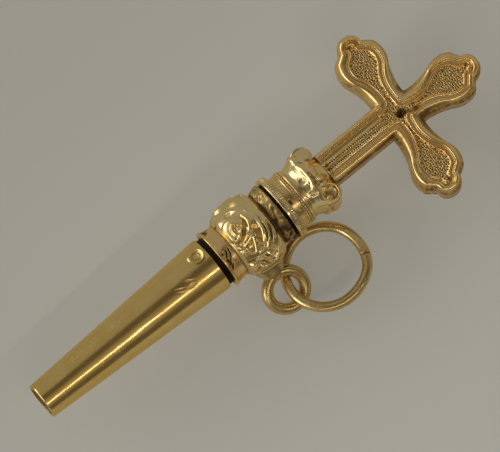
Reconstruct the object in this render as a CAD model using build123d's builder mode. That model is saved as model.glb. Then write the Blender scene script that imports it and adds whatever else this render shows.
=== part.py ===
"""Victorian swivel watch key with a cross handle, in millimetres.

The key lies along +X: the mouth of the barrel is at x = 0 and the tip of the cross is at the far end.
The front face of the cross looks along +Z. The swivel sleeve turns freely on the spindle, and a jump
ring hangs in its eye, so a chain stays still while the key is wound.
"""

from build123d import *

import os
from math import atan2, cos, degrees, radians, sin, sqrt

# Barrel case: a tapered gold tube
barrel_length = 17.8
mouth_radius = 1.58
barrel_top_radius = 2.42
case_wall = 0.32
mouth_round = 0.15

# Winding pipe: a steel tube in the barrel, drilled and then broached square
pipe_recess = 0.22
pipe_to_plug_gap = 1.98
square_across_flats = 1.4
square_depth = 7.0
drill_run_out = 1.2
lead_in_radius = 0.95
lead_in_depth = 0.2

# Barrel plug, spindle and the pin that locks them together
plug_length = 4.6
spindle_radius = 0.9
pin_radius = 0.42
pin_from_barrel_end = 0.85
pin_turn = 24.0
pin_dish_radius = 0.6
pin_dish_depth = 0.16

# Washers in the two seams, and the play of the swivel
lower_washer_radius = 2.2
lower_washer_thickness = 0.45
upper_washer_radius = 2.5
upper_washer_thickness = 0.2
end_play = 0.05
running_clearance = 0.05

# Swivel sleeve: bush, two collars and a hollow struck bulge
bush_radius = 1.45
collar_length = 1.3
collar_rim_radius = 2.68
collar_back_radius = 2.42
collar_lip = 0.16
collar_waist = 0.08
bulge_length = 3.9
bulge_radius = 3.42
bulge_foot_radius = 2.45
bulge_wall = 0.35
neck_length = 1.0
neck_flare_radius = 2.78
bulge_profile_shares = ((0, 0), (0.08, 0.34), (0.25, 0.58), (0.5, 0.82), (0.74, 1), (0.9, 0.78), (1, 0))
vent_radius = 0.2
vent_place_share = 0.82

# Eye on the swivel, turned down from the plane of the cross, and its saddle
eye_turn = 32.0
eye_place_share = 0.48
eye_rise = 2.43
eye_ring_radius = 1.63
eye_wire_radius = 0.49
saddle_length = 2.3
saddle_width = 1.05
saddle_depth = 0.8

# Jump ring that hangs in the eye: its centre from the eye, its tilt from the plane of the eye
ring_radius = 3.38
ring_wire_radius = 0.44
ring_along = 3.6
ring_outward = 0.37
ring_above = 0.54
ring_lean_shares = (-0.079, -0.651)

# Head of the key: disc, milled wire, sleeve and two plain wires with a beaded one between
disc_radius = 2.95
disc_thickness = 0.25
milled_radius = 2.92
milled_length = 0.42
milled_teeth = 64
milled_notch_radius = 0.1
head_radius = 2.4
head_length = 1.73
band_wire_radius = 0.1
band_wire_spacing = 0.42
band_from_head_end = 0.16
bead_radius = 0.1
bead_count = 52
bead_notch_sides = 4

# Knop: a bell with two scroll rolls, whose ends are the volutes in front and behind
knop_length = 2.87
knop_foot_radius = 2.3
knop_radius = 2.6
knop_top_radius = 1.55
knop_profile_shares = ((0.0, 0.0), (0.18, 0.72), (0.42, 1.0), (0.66, 0.5), (1.0, 0.0))
scroll_radius = 0.88
scroll_offset = 1.88
scroll_half_length = 1.6
scroll_place_share = 0.685
scroll_edge_round = 0.2
volute_radius = 0.46
volute_groove = 0.13
pellet_radius = 0.22
spindle_bore_depth = 1.4

# Cross: two struck halves that meet in the middle plane, and the tang inside
cross_half_thickness = 1.45
side_wall_height = 0.8
stem_length = 7.6
arm_length = 7.8
arm_lean = -4.0
arm_offset = -0.3
corner_bevel = 0.12
neck_half_width = 1.4
stem_half_width = 1.45
arm_half_width = 2.17
rim_neck_half_width = 0.8
rim_stem_half_width = 1.17
rim_arm_half_width = 1.73
rim_tip_inset = 0.34
rim_width = 0.13
channel_depth = 0.22
channel_width = 0.27
ridge_width = 0.09
ridge_height = 0.12
ground_drop = 0.07
shell_wall = 0.34
arm_swell_shares = (0.36, 0.1)
arm_hip_shares = (0.54, 0.88)
arm_widest_share = 0.68
arm_shoulder_shares = (0.81, 0.87)
arm_notch_shares = (0.88, 0.5)
tip_bulge_shares = (0.955, 0.4)
tip_pellet_radius = 0.24
tip_pellet_share = 0.885
centre_pit_radius = 0.3
centre_pit_depth = 0.5
tang_length = 5.2
tang_in_knop = 1.1
tang_clearance = 0.05
overrun = 0.5

# Stations along the key
plug_start = barrel_length - plug_length
pipe_end = plug_start - pipe_to_plug_gap
pin_place = barrel_length - pin_from_barrel_end
swivel_start = barrel_length + lower_washer_thickness + end_play
bulge_start = swivel_start + collar_length
bulge_end = bulge_start + bulge_length
eye_place = bulge_start + bulge_length * eye_place_share
eye_distance = bulge_radius + eye_rise
swivel_end = bulge_end + neck_length
upper_washer_start = swivel_end + end_play
head_start = upper_washer_start + upper_washer_thickness
sleeve_start = head_start + disc_thickness
knop_start = sleeve_start + head_length
knop_end = knop_start + knop_length
spindle_end = knop_start + spindle_bore_depth
crossing = knop_end + stem_length
channel_floor = cross_half_thickness - channel_depth
ground = channel_floor - ground_drop
cavity_top = ground - shell_wall


def barrel_radius(x):
    """Outer radius of the barrel at a distance from the mouth."""
    return mouth_radius + (barrel_top_radius - mouth_radius) * x / barrel_length


def bore_radius(x):
    """Inner radius of the barrel case at a distance from the mouth."""
    return barrel_radius(x) - case_wall


def write(part, label):
    """Labels a finished piece and writes its STEP file."""
    part.label = label
    export_step(part, f"parts/{label}.step")


def ring_of(inner, outer, start, length):
    """A plain ring on the key's axis."""
    with BuildPart() as ring:
        with BuildSketch(Plane.YZ.offset(start)):
            Circle(outer)
            Circle(inner, mode=Mode.SUBTRACT)
        extrude(amount=length)
    return ring.part


def band_wire(place):
    """A half-round wire that is bent round the head sleeve at a place on the axis."""
    with BuildPart() as wire:
        with BuildSketch(Plane.XY):
            with Locations((place, head_radius)):
                Circle(band_wire_radius)
            with Locations((place, head_radius - band_wire_radius)):
                Rectangle(2 * band_wire_radius, 2 * band_wire_radius, mode=Mode.SUBTRACT)
        revolve(axis=Axis.X)
    return wire.part


os.makedirs("parts", exist_ok=True)

# Pin that locks barrel, plug and spindle, on a plane square to the pin
pin_out = Vector(0, sin(radians(pin_turn)), cos(radians(pin_turn)))
pin_plane = Plane(origin=(pin_place, 0, 0), x_dir=(1, 0, 0), z_dir=pin_out)
pin_top = barrel_radius(pin_place) - pin_dish_depth

# Barrel case
with BuildPart() as barrel_case:
    with BuildSketch(Plane.XY):
        with BuildLine():
            Polyline(
                (0, bore_radius(0)),
                (0, mouth_radius),
                (barrel_length, barrel_top_radius),
                (barrel_length, bore_radius(barrel_length)),
                close=True,
            )
        make_face()
    revolve(axis=Axis.X)
    mouth_edges = barrel_case.edges().filter_by(GeomType.CIRCLE).group_by(Axis.X)[0]
    fillet(mouth_edges.sort_by(SortBy.RADIUS)[-1], radius=mouth_round)
    with BuildSketch(pin_plane):
        Circle(pin_radius)
    extrude(amount=barrel_top_radius + overrun, mode=Mode.SUBTRACT)
    with BuildSketch(pin_plane.offset(pin_top)):
        Circle(pin_radius)
    with BuildSketch(pin_plane.offset(pin_top + 2 * pin_dish_depth)):
        Circle(2 * pin_dish_radius - pin_radius)
    loft(mode=Mode.SUBTRACT)
write(barrel_case.part, "barrel_case")

# Winding pipe with its square socket
with BuildPart() as winding_pipe:
    with BuildSketch(Plane.XY):
        with BuildLine():
            Polyline(
                (pipe_recess, 0),
                (pipe_recess, bore_radius(pipe_recess)),
                (pipe_end, bore_radius(pipe_end)),
                (pipe_end, 0),
                close=True,
            )
        make_face()
    revolve(axis=Axis.X)
    with BuildSketch(Plane.YZ.offset(pipe_recess)):
        Rectangle(square_across_flats, square_across_flats)
    extrude(amount=square_depth, mode=Mode.SUBTRACT)
    with BuildSketch(Plane.YZ.offset(pipe_recess)):
        Circle(square_across_flats / 2)
    extrude(amount=square_depth + drill_run_out, mode=Mode.SUBTRACT)
    with BuildSketch(Plane.YZ.offset(pipe_recess)):
        Circle(lead_in_radius)
    with BuildSketch(Plane.YZ.offset(pipe_recess + lead_in_depth)):
        Circle(square_across_flats / 2)
    loft(mode=Mode.SUBTRACT)
write(winding_pipe.part, "winding_pipe")

# Barrel plug
with BuildPart() as barrel_plug:
    with BuildSketch(Plane.XY):
        with BuildLine():
            Polyline(
                (plug_start, spindle_radius),
                (plug_start, bore_radius(plug_start)),
                (barrel_length, bore_radius(barrel_length)),
                (barrel_length, spindle_radius),
                close=True,
            )
        make_face()
    revolve(axis=Axis.X)
    with BuildSketch(pin_plane):
        Circle(pin_radius)
    extrude(amount=barrel_top_radius, mode=Mode.SUBTRACT)
write(barrel_plug.part, "barrel_plug")

# Locking pin, with a slightly domed head
with BuildPart() as locking_pin:
    with BuildSketch(pin_plane):
        Circle(pin_radius)
    extrude(amount=pin_top)
write(locking_pin.part, "locking_pin")

# Spindle, flatted for the pin
with BuildPart() as spindle:
    with BuildSketch(Plane.YZ.offset(plug_start)):
        Circle(spindle_radius)
    extrude(amount=spindle_end - plug_start)
    with BuildSketch(pin_plane):
        Circle(pin_radius)
    extrude(amount=barrel_top_radius, mode=Mode.SUBTRACT)
write(spindle.part, "spindle")

# Washers in the seams
write(ring_of(spindle_radius, lower_washer_radius, barrel_length, lower_washer_thickness), "lower_washer")
write(
    ring_of(spindle_radius, upper_washer_radius, upper_washer_start, upper_washer_thickness),
    "upper_washer",
)

# Swivel bush
swivel_length = swivel_end - swivel_start
write(ring_of(spindle_radius + running_clearance, bush_radius, swivel_start, swivel_length), "swivel_bush")

# Lower collar of the swivel: a lipped band with a slight waist
with BuildPart() as lower_collar:
    with BuildSketch(Plane.XY):
        with BuildLine():
            rim = Polyline(
                (bulge_start, collar_back_radius),
                (bulge_start, bush_radius),
                (swivel_start, bush_radius),
                (swivel_start, collar_rim_radius),
                (swivel_start + collar_lip, collar_rim_radius),
            )
            middle_radius = (collar_rim_radius + collar_back_radius) / 2 - collar_waist
            middle_place = swivel_start + collar_length / 2
            ThreePointArc(rim @ 1, (middle_place, middle_radius), rim @ 0)
        make_face()
    revolve(axis=Axis.X)
write(lower_collar.part, "lower_collar")

# Neck collar of the swivel, flared towards the head
with BuildPart() as neck_collar:
    with BuildSketch(Plane.XY):
        with BuildLine():
            Polyline(
                (bulge_end, bush_radius),
                (bulge_end, bulge_foot_radius),
                (swivel_end - collar_lip, neck_flare_radius),
                (swivel_end, neck_flare_radius),
                (swivel_end, bush_radius),
                close=True,
            )
        make_face()
    revolve(axis=Axis.X)
write(neck_collar.part, "neck_collar")

# Plane through the axis and the eye, where the two halves of the bulge are soldered
eye_out = Vector(0, -cos(radians(eye_turn)), -sin(radians(eye_turn)))
eye_up = Vector(0, -sin(radians(eye_turn)), cos(radians(eye_turn)))
seam_plane = Plane(origin=(0, 0, 0), x_dir=(1, 0, 0), z_dir=eye_up)
eye_centre = Vector(eye_place, 0, 0) + eye_out * eye_distance
eye_plane = Plane(origin=eye_centre, x_dir=(1, 0, 0), z_dir=eye_up)
vent_plane = Plane(
    origin=(bulge_start + bulge_length * vent_place_share, 0, 0), x_dir=(1, 0, 0), z_dir=-eye_out
)


def bulge_points(foot, top):
    """Points of the bulge's profile from a foot radius and a top radius."""
    return [
        (bulge_start + bulge_length * along, foot + (top - foot) * rise)
        for along, rise in bulge_profile_shares
    ]


def bulge_solid(foot, top):
    """A solid of revolution under the bulge's profile."""
    points = bulge_points(foot, top)
    with BuildPart() as solid:
        with BuildSketch(Plane.XY):
            with BuildLine():
                Spline(*points)
                Polyline(points[-1], (bulge_end, 0), (bulge_start, 0), points[0])
            make_face()
        revolve(axis=Axis.X)
    return solid.part


bulge_outside = bulge_solid(bulge_foot_radius, bulge_radius)
bulge_inside = bulge_solid(bulge_foot_radius - bulge_wall, bulge_radius - bulge_wall)

for label, side in (("swivel_shell_front", Keep.TOP), ("swivel_shell_back", Keep.BOTTOM)):
    with BuildPart() as shell:
        add(bulge_outside)
        add(bulge_inside, mode=Mode.SUBTRACT)
        with BuildSketch(vent_plane):
            Circle(vent_radius)
        extrude(amount=bulge_radius + overrun, mode=Mode.SUBTRACT)
        split(bisect_by=seam_plane, keep=side)
    write(shell.part, label)

# Eye and its saddle
with BuildPart(eye_plane) as eye:
    Torus(eye_ring_radius, eye_wire_radius)
write(eye.part, "eye")

saddle_foot = eye_distance - eye_ring_radius - saddle_depth
saddle_plane = Plane(origin=Vector(eye_place, 0, 0) + eye_out * saddle_foot, x_dir=(1, 0, 0), z_dir=eye_out)
with BuildPart() as eye_saddle:
    with BuildSketch(saddle_plane):
        Ellipse(saddle_length / 2, saddle_width / 2)
    with BuildSketch(saddle_plane.offset(saddle_depth)):
        Ellipse(eye_wire_radius + running_clearance, eye_wire_radius + running_clearance)
    loft()
    add(bulge_outside, mode=Mode.SUBTRACT)
    add(eye.part, mode=Mode.SUBTRACT)
write(eye_saddle.part, "eye_saddle")

# Jump ring
ring_lean_along, ring_lean_outward = ring_lean_shares
ring_lean_up = sqrt(1 - ring_lean_along**2 - ring_lean_outward**2)
ring_normal = Vector(1, 0, 0) * ring_lean_along + eye_out * ring_lean_outward + eye_up * ring_lean_up
ring_centre = eye_centre + Vector(ring_along, 0, 0) + eye_out * ring_outward + eye_up * ring_above
with BuildPart(Plane(origin=ring_centre, x_dir=(1, 0, 0), z_dir=ring_normal)) as jump_ring:
    Torus(ring_radius, ring_wire_radius)
write(jump_ring.part, "jump_ring")

# Head disc, milled wire and sleeve
write(ring_of(spindle_radius, disc_radius, head_start, disc_thickness), "head_disc")
with BuildPart() as milled_wire:
    with BuildSketch(Plane.YZ.offset(sleeve_start)):
        Circle(milled_radius)
        with PolarLocations(milled_radius, milled_teeth):
            Circle(milled_notch_radius, mode=Mode.SUBTRACT)
        Circle(head_radius, mode=Mode.SUBTRACT)
    extrude(amount=milled_length)
write(milled_wire.part, "milled_wire")
write(ring_of(spindle_radius, head_radius, sleeve_start, head_length), "head_sleeve")

# Wires round the head sleeve
upper_wire_place = knop_start - band_from_head_end
lower_wire_place = upper_wire_place - band_wire_spacing
write(band_wire(lower_wire_place), "lower_band_wire")
write(band_wire(upper_wire_place), "upper_band_wire")
bead_place = (lower_wire_place + upper_wire_place) / 2
with BuildPart() as bead_wire:
    with BuildSketch(Plane.YZ.offset(bead_place - bead_radius)):
        RegularPolygon(head_radius + bead_radius, bead_count)
        with PolarLocations(head_radius + bead_radius, bead_count):
            RegularPolygon(bead_radius / 2, bead_notch_sides, mode=Mode.SUBTRACT)
        RegularPolygon(head_radius, bead_count, major_radius=False, mode=Mode.SUBTRACT)
    extrude(amount=2 * bead_radius)
write(bead_wire.part, "bead_wire")

# Knop with its scroll rolls
knop_points = []
for along, rise in knop_profile_shares:
    base = knop_foot_radius + (knop_top_radius - knop_foot_radius) * along
    knop_points.append((knop_start + knop_length * along, base + (knop_radius - base) * rise))
scroll_place = knop_start + knop_length * scroll_place_share
tang_half_width = stem_half_width - shell_wall - tang_clearance
tang_half_height = cavity_top - tang_clearance
tang_start = knop_end - tang_in_knop
with BuildPart() as scroll_roll:
    with BuildSketch(Plane.XY.offset(-scroll_half_length)):
        Circle(scroll_radius)
    extrude(amount=2 * scroll_half_length)
    fillet(scroll_roll.edges().filter_by(GeomType.CIRCLE), radius=scroll_edge_round)
    with Locations((0, 0, scroll_half_length), (0, 0, -scroll_half_length)):
        Torus(volute_radius, volute_groove, mode=Mode.SUBTRACT)
        Sphere(pellet_radius)

with BuildPart() as knop:
    with BuildSketch(Plane.XY):
        with BuildLine():
            Spline(*knop_points)
            Polyline(knop_points[-1], (knop_end, 0), (knop_start, 0), knop_points[0])
        make_face()
    revolve(axis=Axis.X)
    with Locations((scroll_place, scroll_offset, 0), (scroll_place, -scroll_offset, 0)):
        add(scroll_roll.part)
    with BuildSketch(Plane.YZ.offset(knop_start)):
        Circle(spindle_radius)
    extrude(amount=spindle_bore_depth, mode=Mode.SUBTRACT)
    with BuildSketch(Plane.YZ.offset(tang_start)):
        Rectangle(2 * tang_half_width, 2 * tang_half_height)
    extrude(amount=knop_length, mode=Mode.SUBTRACT)
write(knop.part, "knop")

# Tang between knop and cross
with BuildPart() as cross_tang:
    with BuildSketch(Plane.YZ.offset(tang_start)):
        Rectangle(2 * tang_half_width, 2 * tang_half_height)
    extrude(amount=tang_length)
write(cross_tang.part, "cross_tang")


def cross_outline(neck, stem, widest, tip_inset, stem_start):
    """Draws the closed outline of the cross in the current line.

    Three budded arms leave the crossing, and the fourth is the plain stem that runs back to the knop.
    """
    reach = arm_length - tip_inset
    bevel = corner_bevel * neck / neck_half_width
    corner = neck + bevel
    stem_corner = stem + bevel

    def arm_half(along, side, start):
        """Half of one arm's outline, as (along, across) points, from where it starts to its tip."""
        return [
            (start, neck * side),
            (along * arm_swell_shares[0], (neck + (widest - neck) * arm_swell_shares[1]) * side),
            (along * arm_hip_shares[0], widest * arm_hip_shares[1] * side),
            (along * arm_widest_share, widest * side),
            (along * arm_shoulder_shares[0], widest * arm_shoulder_shares[1] * side),
            (along * arm_notch_shares[0], widest * arm_notch_shares[1] * side),
            (along * tip_bulge_shares[0], widest * tip_bulge_shares[1] * side),
            (along, 0),
        ]

    def draw(half, turn):
        """Draws half an arm, turned about the crossing."""
        c = cos(radians(turn + arm_lean))
        s = sin(radians(turn + arm_lean))
        points = [(crossing + x * c - y * s, arm_offset + x * s + y * c) for x, y in half]
        ThreePointArc(points[0], points[1], points[2])
        ThreePointArc(points[2], points[3], points[4])
        Line(points[4], points[5])
        ThreePointArc(points[5], points[6], points[7])
        return points

    right_starts = {0: corner, 90: corner, -90: stem_corner + arm_offset}
    left_starts = {0: corner, 90: stem_corner - arm_offset, -90: corner}
    right = {turn: draw(arm_half(reach, -1, start), turn) for turn, start in right_starts.items()}
    left = {turn: draw(arm_half(reach, 1, start), turn) for turn, start in left_starts.items()}
    Line(left[0][0], right[90][0])
    Line(right[0][0], left[-90][0])
    Polyline(left[90][0], (crossing - corner, stem), (stem_start, stem))
    Polyline(right[-90][0], (crossing - corner, -stem), (stem_start, -stem))
    Line((stem_start, stem), (stem_start, -stem))


def cross_face(height, inset, stem_inset=0.0):
    """A face of the cross's rim outline, drawn in by an inset, at a height above the middle plane."""
    with BuildSketch(Plane.XY.offset(height)) as face:
        with BuildLine():
            cross_outline(
                rim_neck_half_width - inset,
                rim_stem_half_width - inset,
                rim_arm_half_width - inset,
                rim_tip_inset + inset,
                knop_end + stem_inset,
            )
        make_face()
    return face.sketch


with BuildPart() as cross_front:
    for height in (0, side_wall_height):
        with BuildSketch(Plane.XY.offset(height)):
            with BuildLine():
                cross_outline(neck_half_width, stem_half_width, arm_half_width, 0, knop_end)
            make_face()
    loft(ruled=True)
    with BuildSketch(Plane.XY.offset(side_wall_height)):
        with BuildLine():
            cross_outline(neck_half_width, stem_half_width, arm_half_width, 0, knop_end)
        make_face()
    add(cross_face(cross_half_thickness, 0))
    loft(ruled=True)
    ridge_inset = rim_width + channel_width
    add(cross_face(channel_floor, rim_width, rim_width))
    extrude(amount=channel_depth + overrun, mode=Mode.SUBTRACT)
    add(cross_face(channel_floor, ridge_inset, ridge_inset))
    extrude(amount=ridge_height)
    add(cross_face(ground, ridge_inset + ridge_width, ridge_inset + ridge_width))
    extrude(amount=ground_drop + ridge_height + overrun, mode=Mode.SUBTRACT)
    with BuildSketch(Plane.XY):
        with BuildLine():
            cross_outline(
                neck_half_width - shell_wall,
                stem_half_width - shell_wall,
                arm_half_width - shell_wall,
                shell_wall,
                knop_end - overrun,
            )
        make_face()
    extrude(amount=cavity_top, mode=Mode.SUBTRACT)
    tip_reach = (arm_length - rim_tip_inset) * tip_pellet_share
    for turn in (0, 90, -90):
        tip_x = crossing + tip_reach * cos(radians(turn + arm_lean))
        tip_y = arm_offset + tip_reach * sin(radians(turn + arm_lean))
        with Locations((tip_x, tip_y, channel_floor)):
            Sphere(tip_pellet_radius)
    with BuildSketch(Plane.XY.offset(cross_half_thickness)):
        with Locations((crossing, arm_offset)):
            Circle(centre_pit_radius)
    extrude(amount=-centre_pit_depth, mode=Mode.SUBTRACT)
write(cross_front.part, "cross_front")

with BuildPart() as cross_back:
    add(cross_front.part)
    mirror(about=Plane.XY, mode=Mode.REPLACE)
write(cross_back.part, "cross_back")

eye_reach = eye_distance + eye_ring_radius + eye_wire_radius
print(f"overall length {crossing + arm_length:.2f}, eye reach {eye_reach:.2f}, crossing at {crossing:.2f}")
print(f"eye centre {tuple(round(v, 4) for v in eye_centre)}, eye axis {tuple(round(v, 5) for v in eye_up)}")
print(f"pin place {pin_place:.2f}, turned {degrees(atan2(pin_out.Y, pin_out.Z)):.1f} degrees from the front")
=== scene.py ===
"""A worn gold watch key with a cross handle, lying on a pale table under soft light.

The key runs along +X from the mouth of its barrel. Shapes are worked out in millimetres and become metres
when a mesh is made. Turns round the key are in degrees from the front, +Z, towards +Y.
"""

import logging
import math
from dataclasses import dataclass
from dataclasses import field
from enum import Enum
from typing import Callable

import bpy
import numpy as np
from mathutils import Matrix
from mathutils import Vector


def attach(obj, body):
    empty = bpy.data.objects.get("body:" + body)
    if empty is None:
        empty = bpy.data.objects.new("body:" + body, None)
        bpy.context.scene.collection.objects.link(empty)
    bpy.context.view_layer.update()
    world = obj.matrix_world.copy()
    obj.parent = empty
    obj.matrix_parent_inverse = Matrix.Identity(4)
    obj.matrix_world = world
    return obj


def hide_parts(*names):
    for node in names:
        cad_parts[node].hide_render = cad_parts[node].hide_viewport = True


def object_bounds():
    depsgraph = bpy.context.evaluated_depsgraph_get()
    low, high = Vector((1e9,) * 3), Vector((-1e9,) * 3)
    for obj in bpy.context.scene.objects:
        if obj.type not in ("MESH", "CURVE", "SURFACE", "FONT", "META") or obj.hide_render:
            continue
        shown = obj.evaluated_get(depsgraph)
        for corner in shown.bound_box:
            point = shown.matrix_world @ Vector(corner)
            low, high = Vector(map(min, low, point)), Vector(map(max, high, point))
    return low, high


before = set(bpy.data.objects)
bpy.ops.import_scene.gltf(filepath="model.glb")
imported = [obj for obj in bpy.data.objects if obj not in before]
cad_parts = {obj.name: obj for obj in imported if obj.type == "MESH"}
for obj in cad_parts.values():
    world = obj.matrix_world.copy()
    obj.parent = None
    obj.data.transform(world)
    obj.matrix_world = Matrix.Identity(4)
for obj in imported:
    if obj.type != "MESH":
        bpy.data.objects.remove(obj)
CAD_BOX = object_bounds()
MM = 0.001
log = logging.getLogger("watch_key")

Array = np.ndarray
SkinCall = Callable[[Array, Array], tuple[Array, Array]]


class Taper(Enum):
    """Which ends of a stroke run out to nothing."""

    NONE = "none"
    BOTH = "both"
    END = "end"
    GROW = "grow"


class Side(Enum):
    """The two struck halves of the cross, by the way they look along Z."""

    FRONT = 1
    BACK = -1


class Hand(Enum):
    """The two scroll rolls of the knop, by their side along Y."""

    LEFT = 1
    RIGHT = -1


# Drawing on surfaces


def hump(value: Array, place: Array | float, width: float) -> Array:
    """Gives 1 at a place and less with each width away from it.

    Args:
        value: Where the points are.
        place: Where the hump is.
        width: How wide it is.

    Returns:
        The hump's height at each point.
    """
    return np.exp(-(((value - place) / width) ** 2))


def dome(reach: Array, radius: float, softness: float = 1.0) -> Array:
    """Gives a rounded form: 1 in its middle and 0 from its radius on.

    Args:
        reach: Distances from the form's middle.
        radius: The form's radius.
        softness: Less than 1 makes it blunter and more makes it more pointed.

    Returns:
        The form's height at each distance.
    """
    return np.clip(1 - (reach / radius) ** 2, 0, 1) ** softness


def curve_through(points: tuple[tuple[float, float], ...], steps: int = 8) -> Array:
    """Draws a smooth line through points.

    Args:
        points: The points in order.
        steps: Pieces between two points.

    Returns:
        The points of the smooth line, one row each.
    """
    p = np.array(points, float)
    p = np.vstack([2 * p[0] - p[1], p, 2 * p[-1] - p[-2]])
    line = []
    for a, b, c, d in zip(p, p[1:], p[2:], p[3:]):
        for t in np.linspace(0, 1, steps, endpoint=False):
            square = (2 * a - 5 * b + 4 * c - d) * t**2
            line.append(0.5 * (2 * b + (c - a) * t + square + (3 * b - a - 3 * c + d) * t**3))
    line.append(p[-2])
    return np.array(line)


def nearest_on_line(u: Array, v: Array, line: Array) -> tuple[Array, Array]:
    """Measures how far points of a surface are from a line drawn on it.

    Args:
        u: First coordinates of the points.
        v: Second coordinates of the points.
        line: The line's points, one row each.

    Returns:
        The distances, and how far along the line the nearest place is, from 0 to 1.
    """
    best = np.full(u.shape, np.inf)
    along = np.zeros(u.shape)
    count = len(line) - 1
    for i, (a, b) in enumerate(zip(line, line[1:])):
        d = b - a
        t = np.clip(((u - a[0]) * d[0] + (v - a[1]) * d[1]) / max(float(d @ d), 1e-12), 0, 1)
        gap = np.hypot(u - a[0] - t * d[0], v - a[1] - t * d[1])
        closer = gap < best
        best = np.where(closer, gap, best)
        along = np.where(closer, (i + t) / count, along)
    return best, along


@dataclass(frozen=True)
class Stroke:
    """A line that is raised from a surface, or cut into it where its height is negative.

    An end that runs out does so over the run-out share of the line, down to the least share of its height.
    """

    points: tuple[tuple[float, float], ...]
    width: float
    height: float
    taper: Taper = Taper.BOTH
    run_out: float = 0.3
    least: float = 0.15

    def heights(self, u: Array, v: Array) -> Array:
        """Gives the stroke's height over a surface.

        Args:
            u: First coordinates of the surface's points.
            v: Second coordinates of the surface's points.

        Returns:
            The height at each point.
        """
        gap, along = nearest_on_line(u, v, curve_through(self.points))
        full = np.ones(u.shape)
        if self.taper is Taper.BOTH:
            full = np.minimum(full, np.clip(along / self.run_out, self.least, 1))
        if self.taper in (Taper.BOTH, Taper.END):
            full = np.minimum(full, np.clip((1 - along) / self.run_out, self.least, 1))
        if self.taper is Taper.GROW:
            full = 0.06 + 0.94 * np.clip((along - 0.2) / 0.7, 0, 1)
        s = np.clip(gap / (self.width * full**0.5), 0, 1)
        return self.height * full * (1 - s**2) ** (1.3 if self.height > 0 else 2)


@dataclass(frozen=True)
class Boss:
    """A rounded swelling on a surface, or a dish where its height is negative."""

    centre: tuple[float, float]
    half_sizes: tuple[float, float]
    height: float
    turn: float = 0.0
    softness: float = 1.0
    power: float = 2.0

    def heights(self, u: Array, v: Array) -> Array:
        """Gives the boss's height over a surface.

        Args:
            u: First coordinates of the surface's points.
            v: Second coordinates of the surface's points.

        Returns:
            The height at each point.
        """
        c = math.cos(math.radians(self.turn))
        s = math.sin(math.radians(self.turn))
        du = u - self.centre[0]
        dv = v - self.centre[1]
        a = (du * c + dv * s) / self.half_sizes[0]
        b = (-du * s + dv * c) / self.half_sizes[1]
        return self.height * np.clip(1 - np.hypot(a, b) ** self.power, 0, 1) ** self.softness


@dataclass(frozen=True)
class Relief:
    """Ornament of strokes and bosses, where the highest raised form and the deepest cut show."""

    forms: tuple[Stroke | Boss, ...]

    def heights(self, u: Array, v: Array) -> Array:
        """Gives the ornament's height over a surface.

        Args:
            u: First coordinates of the surface's points.
            v: Second coordinates of the surface's points.

        Returns:
            The height at each point.
        """
        ground = np.zeros(u.shape)
        raised = np.zeros(u.shape)
        sunk = np.zeros(u.shape)
        for form in self.forms:
            h = form.heights(u, v)
            if isinstance(form, Boss) and form.height > 0:
                ground = np.maximum(ground, h)
            elif form.height > 0:
                raised = np.maximum(raised, h)
            else:
                sunk = np.minimum(sunk, h)
        return ground + raised + sunk


# Meshes

SHARP_EDGE = 58.0


def mesh_object(name: str, points: Array, faces: Array, recess: Array | None = None) -> bpy.types.Object:
    """Makes a smooth-shaded object from points in millimetres.

    Args:
        name: The piece's name.
        points: One row of x, y and z for each point.
        faces: One row of four point numbers for each face; a triangle repeats its last number.
        recess: How dark each point is, held between 0 and 1: painted shade with some dark joints and dirt.

    Returns:
        The new object, linked into the scene.
    """
    mesh = bpy.data.meshes.new(name)
    loops = [tuple(dict.fromkeys(f)) for f in faces.tolist()]
    mesh.from_pydata((points * MM).tolist(), [], [f for f in loops if len(f) > 2])
    mesh.polygons.foreach_set("use_smooth", [True] * len(mesh.polygons))
    mesh.set_sharp_from_angle(angle=math.radians(SHARP_EDGE))
    shade = mesh.attributes.new("recess", "FLOAT", "POINT")
    shade.data.foreach_set("value", np.zeros(len(points)) if recess is None else np.clip(recess, 0, 1))
    mesh.update()
    piece = bpy.data.objects.new(name, mesh)
    bpy.context.scene.collection.objects.link(piece)
    return piece


def grid_faces(rows: int, columns: int, wrap_rows: bool = False) -> Array:
    """Joins a grid of points, closed round its columns, into faces.

    Args:
        rows: Rows of points.
        columns: Points in each row.
        wrap_rows: Whether the last row joins the first.

    Returns:
        One row of four point numbers for each face.
    """
    i, j = np.meshgrid(np.arange(rows if wrap_rows else rows - 1), np.arange(columns), indexing="ij")
    below = (i + 1) % rows
    beside = (j + 1) % columns
    return np.stack(
        [i * columns + j, i * columns + beside, below * columns + beside, below * columns + j], -1
    ).reshape(-1, 4)


def round_corners(corners: tuple[tuple[float, float, float], ...], steps: int = 4) -> Array:
    """Rounds the corners of a closed outline.

    Args:
        corners: For each corner its two coordinates and its radius.
        steps: Pieces in each rounded corner.

    Returns:
        The outline's points, one row each.
    """
    out = []
    count = len(corners)
    for k in range(count):
        here = np.array(corners[k][:2])
        before = np.array(corners[k - 1][:2]) - here
        after = np.array(corners[(k + 1) % count][:2]) - here
        radius = corners[k][2]
        if radius <= 0:
            out.append(here)
            continue
        before_length = float(np.hypot(*before))
        after_length = float(np.hypot(*after))
        reach = min(radius, 0.45 * before_length, 0.45 * after_length)
        start = here + before / before_length * reach
        end = here + after / after_length * reach
        for t in np.linspace(0, 1, steps + 1):
            out.append((1 - t) ** 2 * start + 2 * t * (1 - t) * here + t**2 * end)
    return np.array(out)


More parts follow.
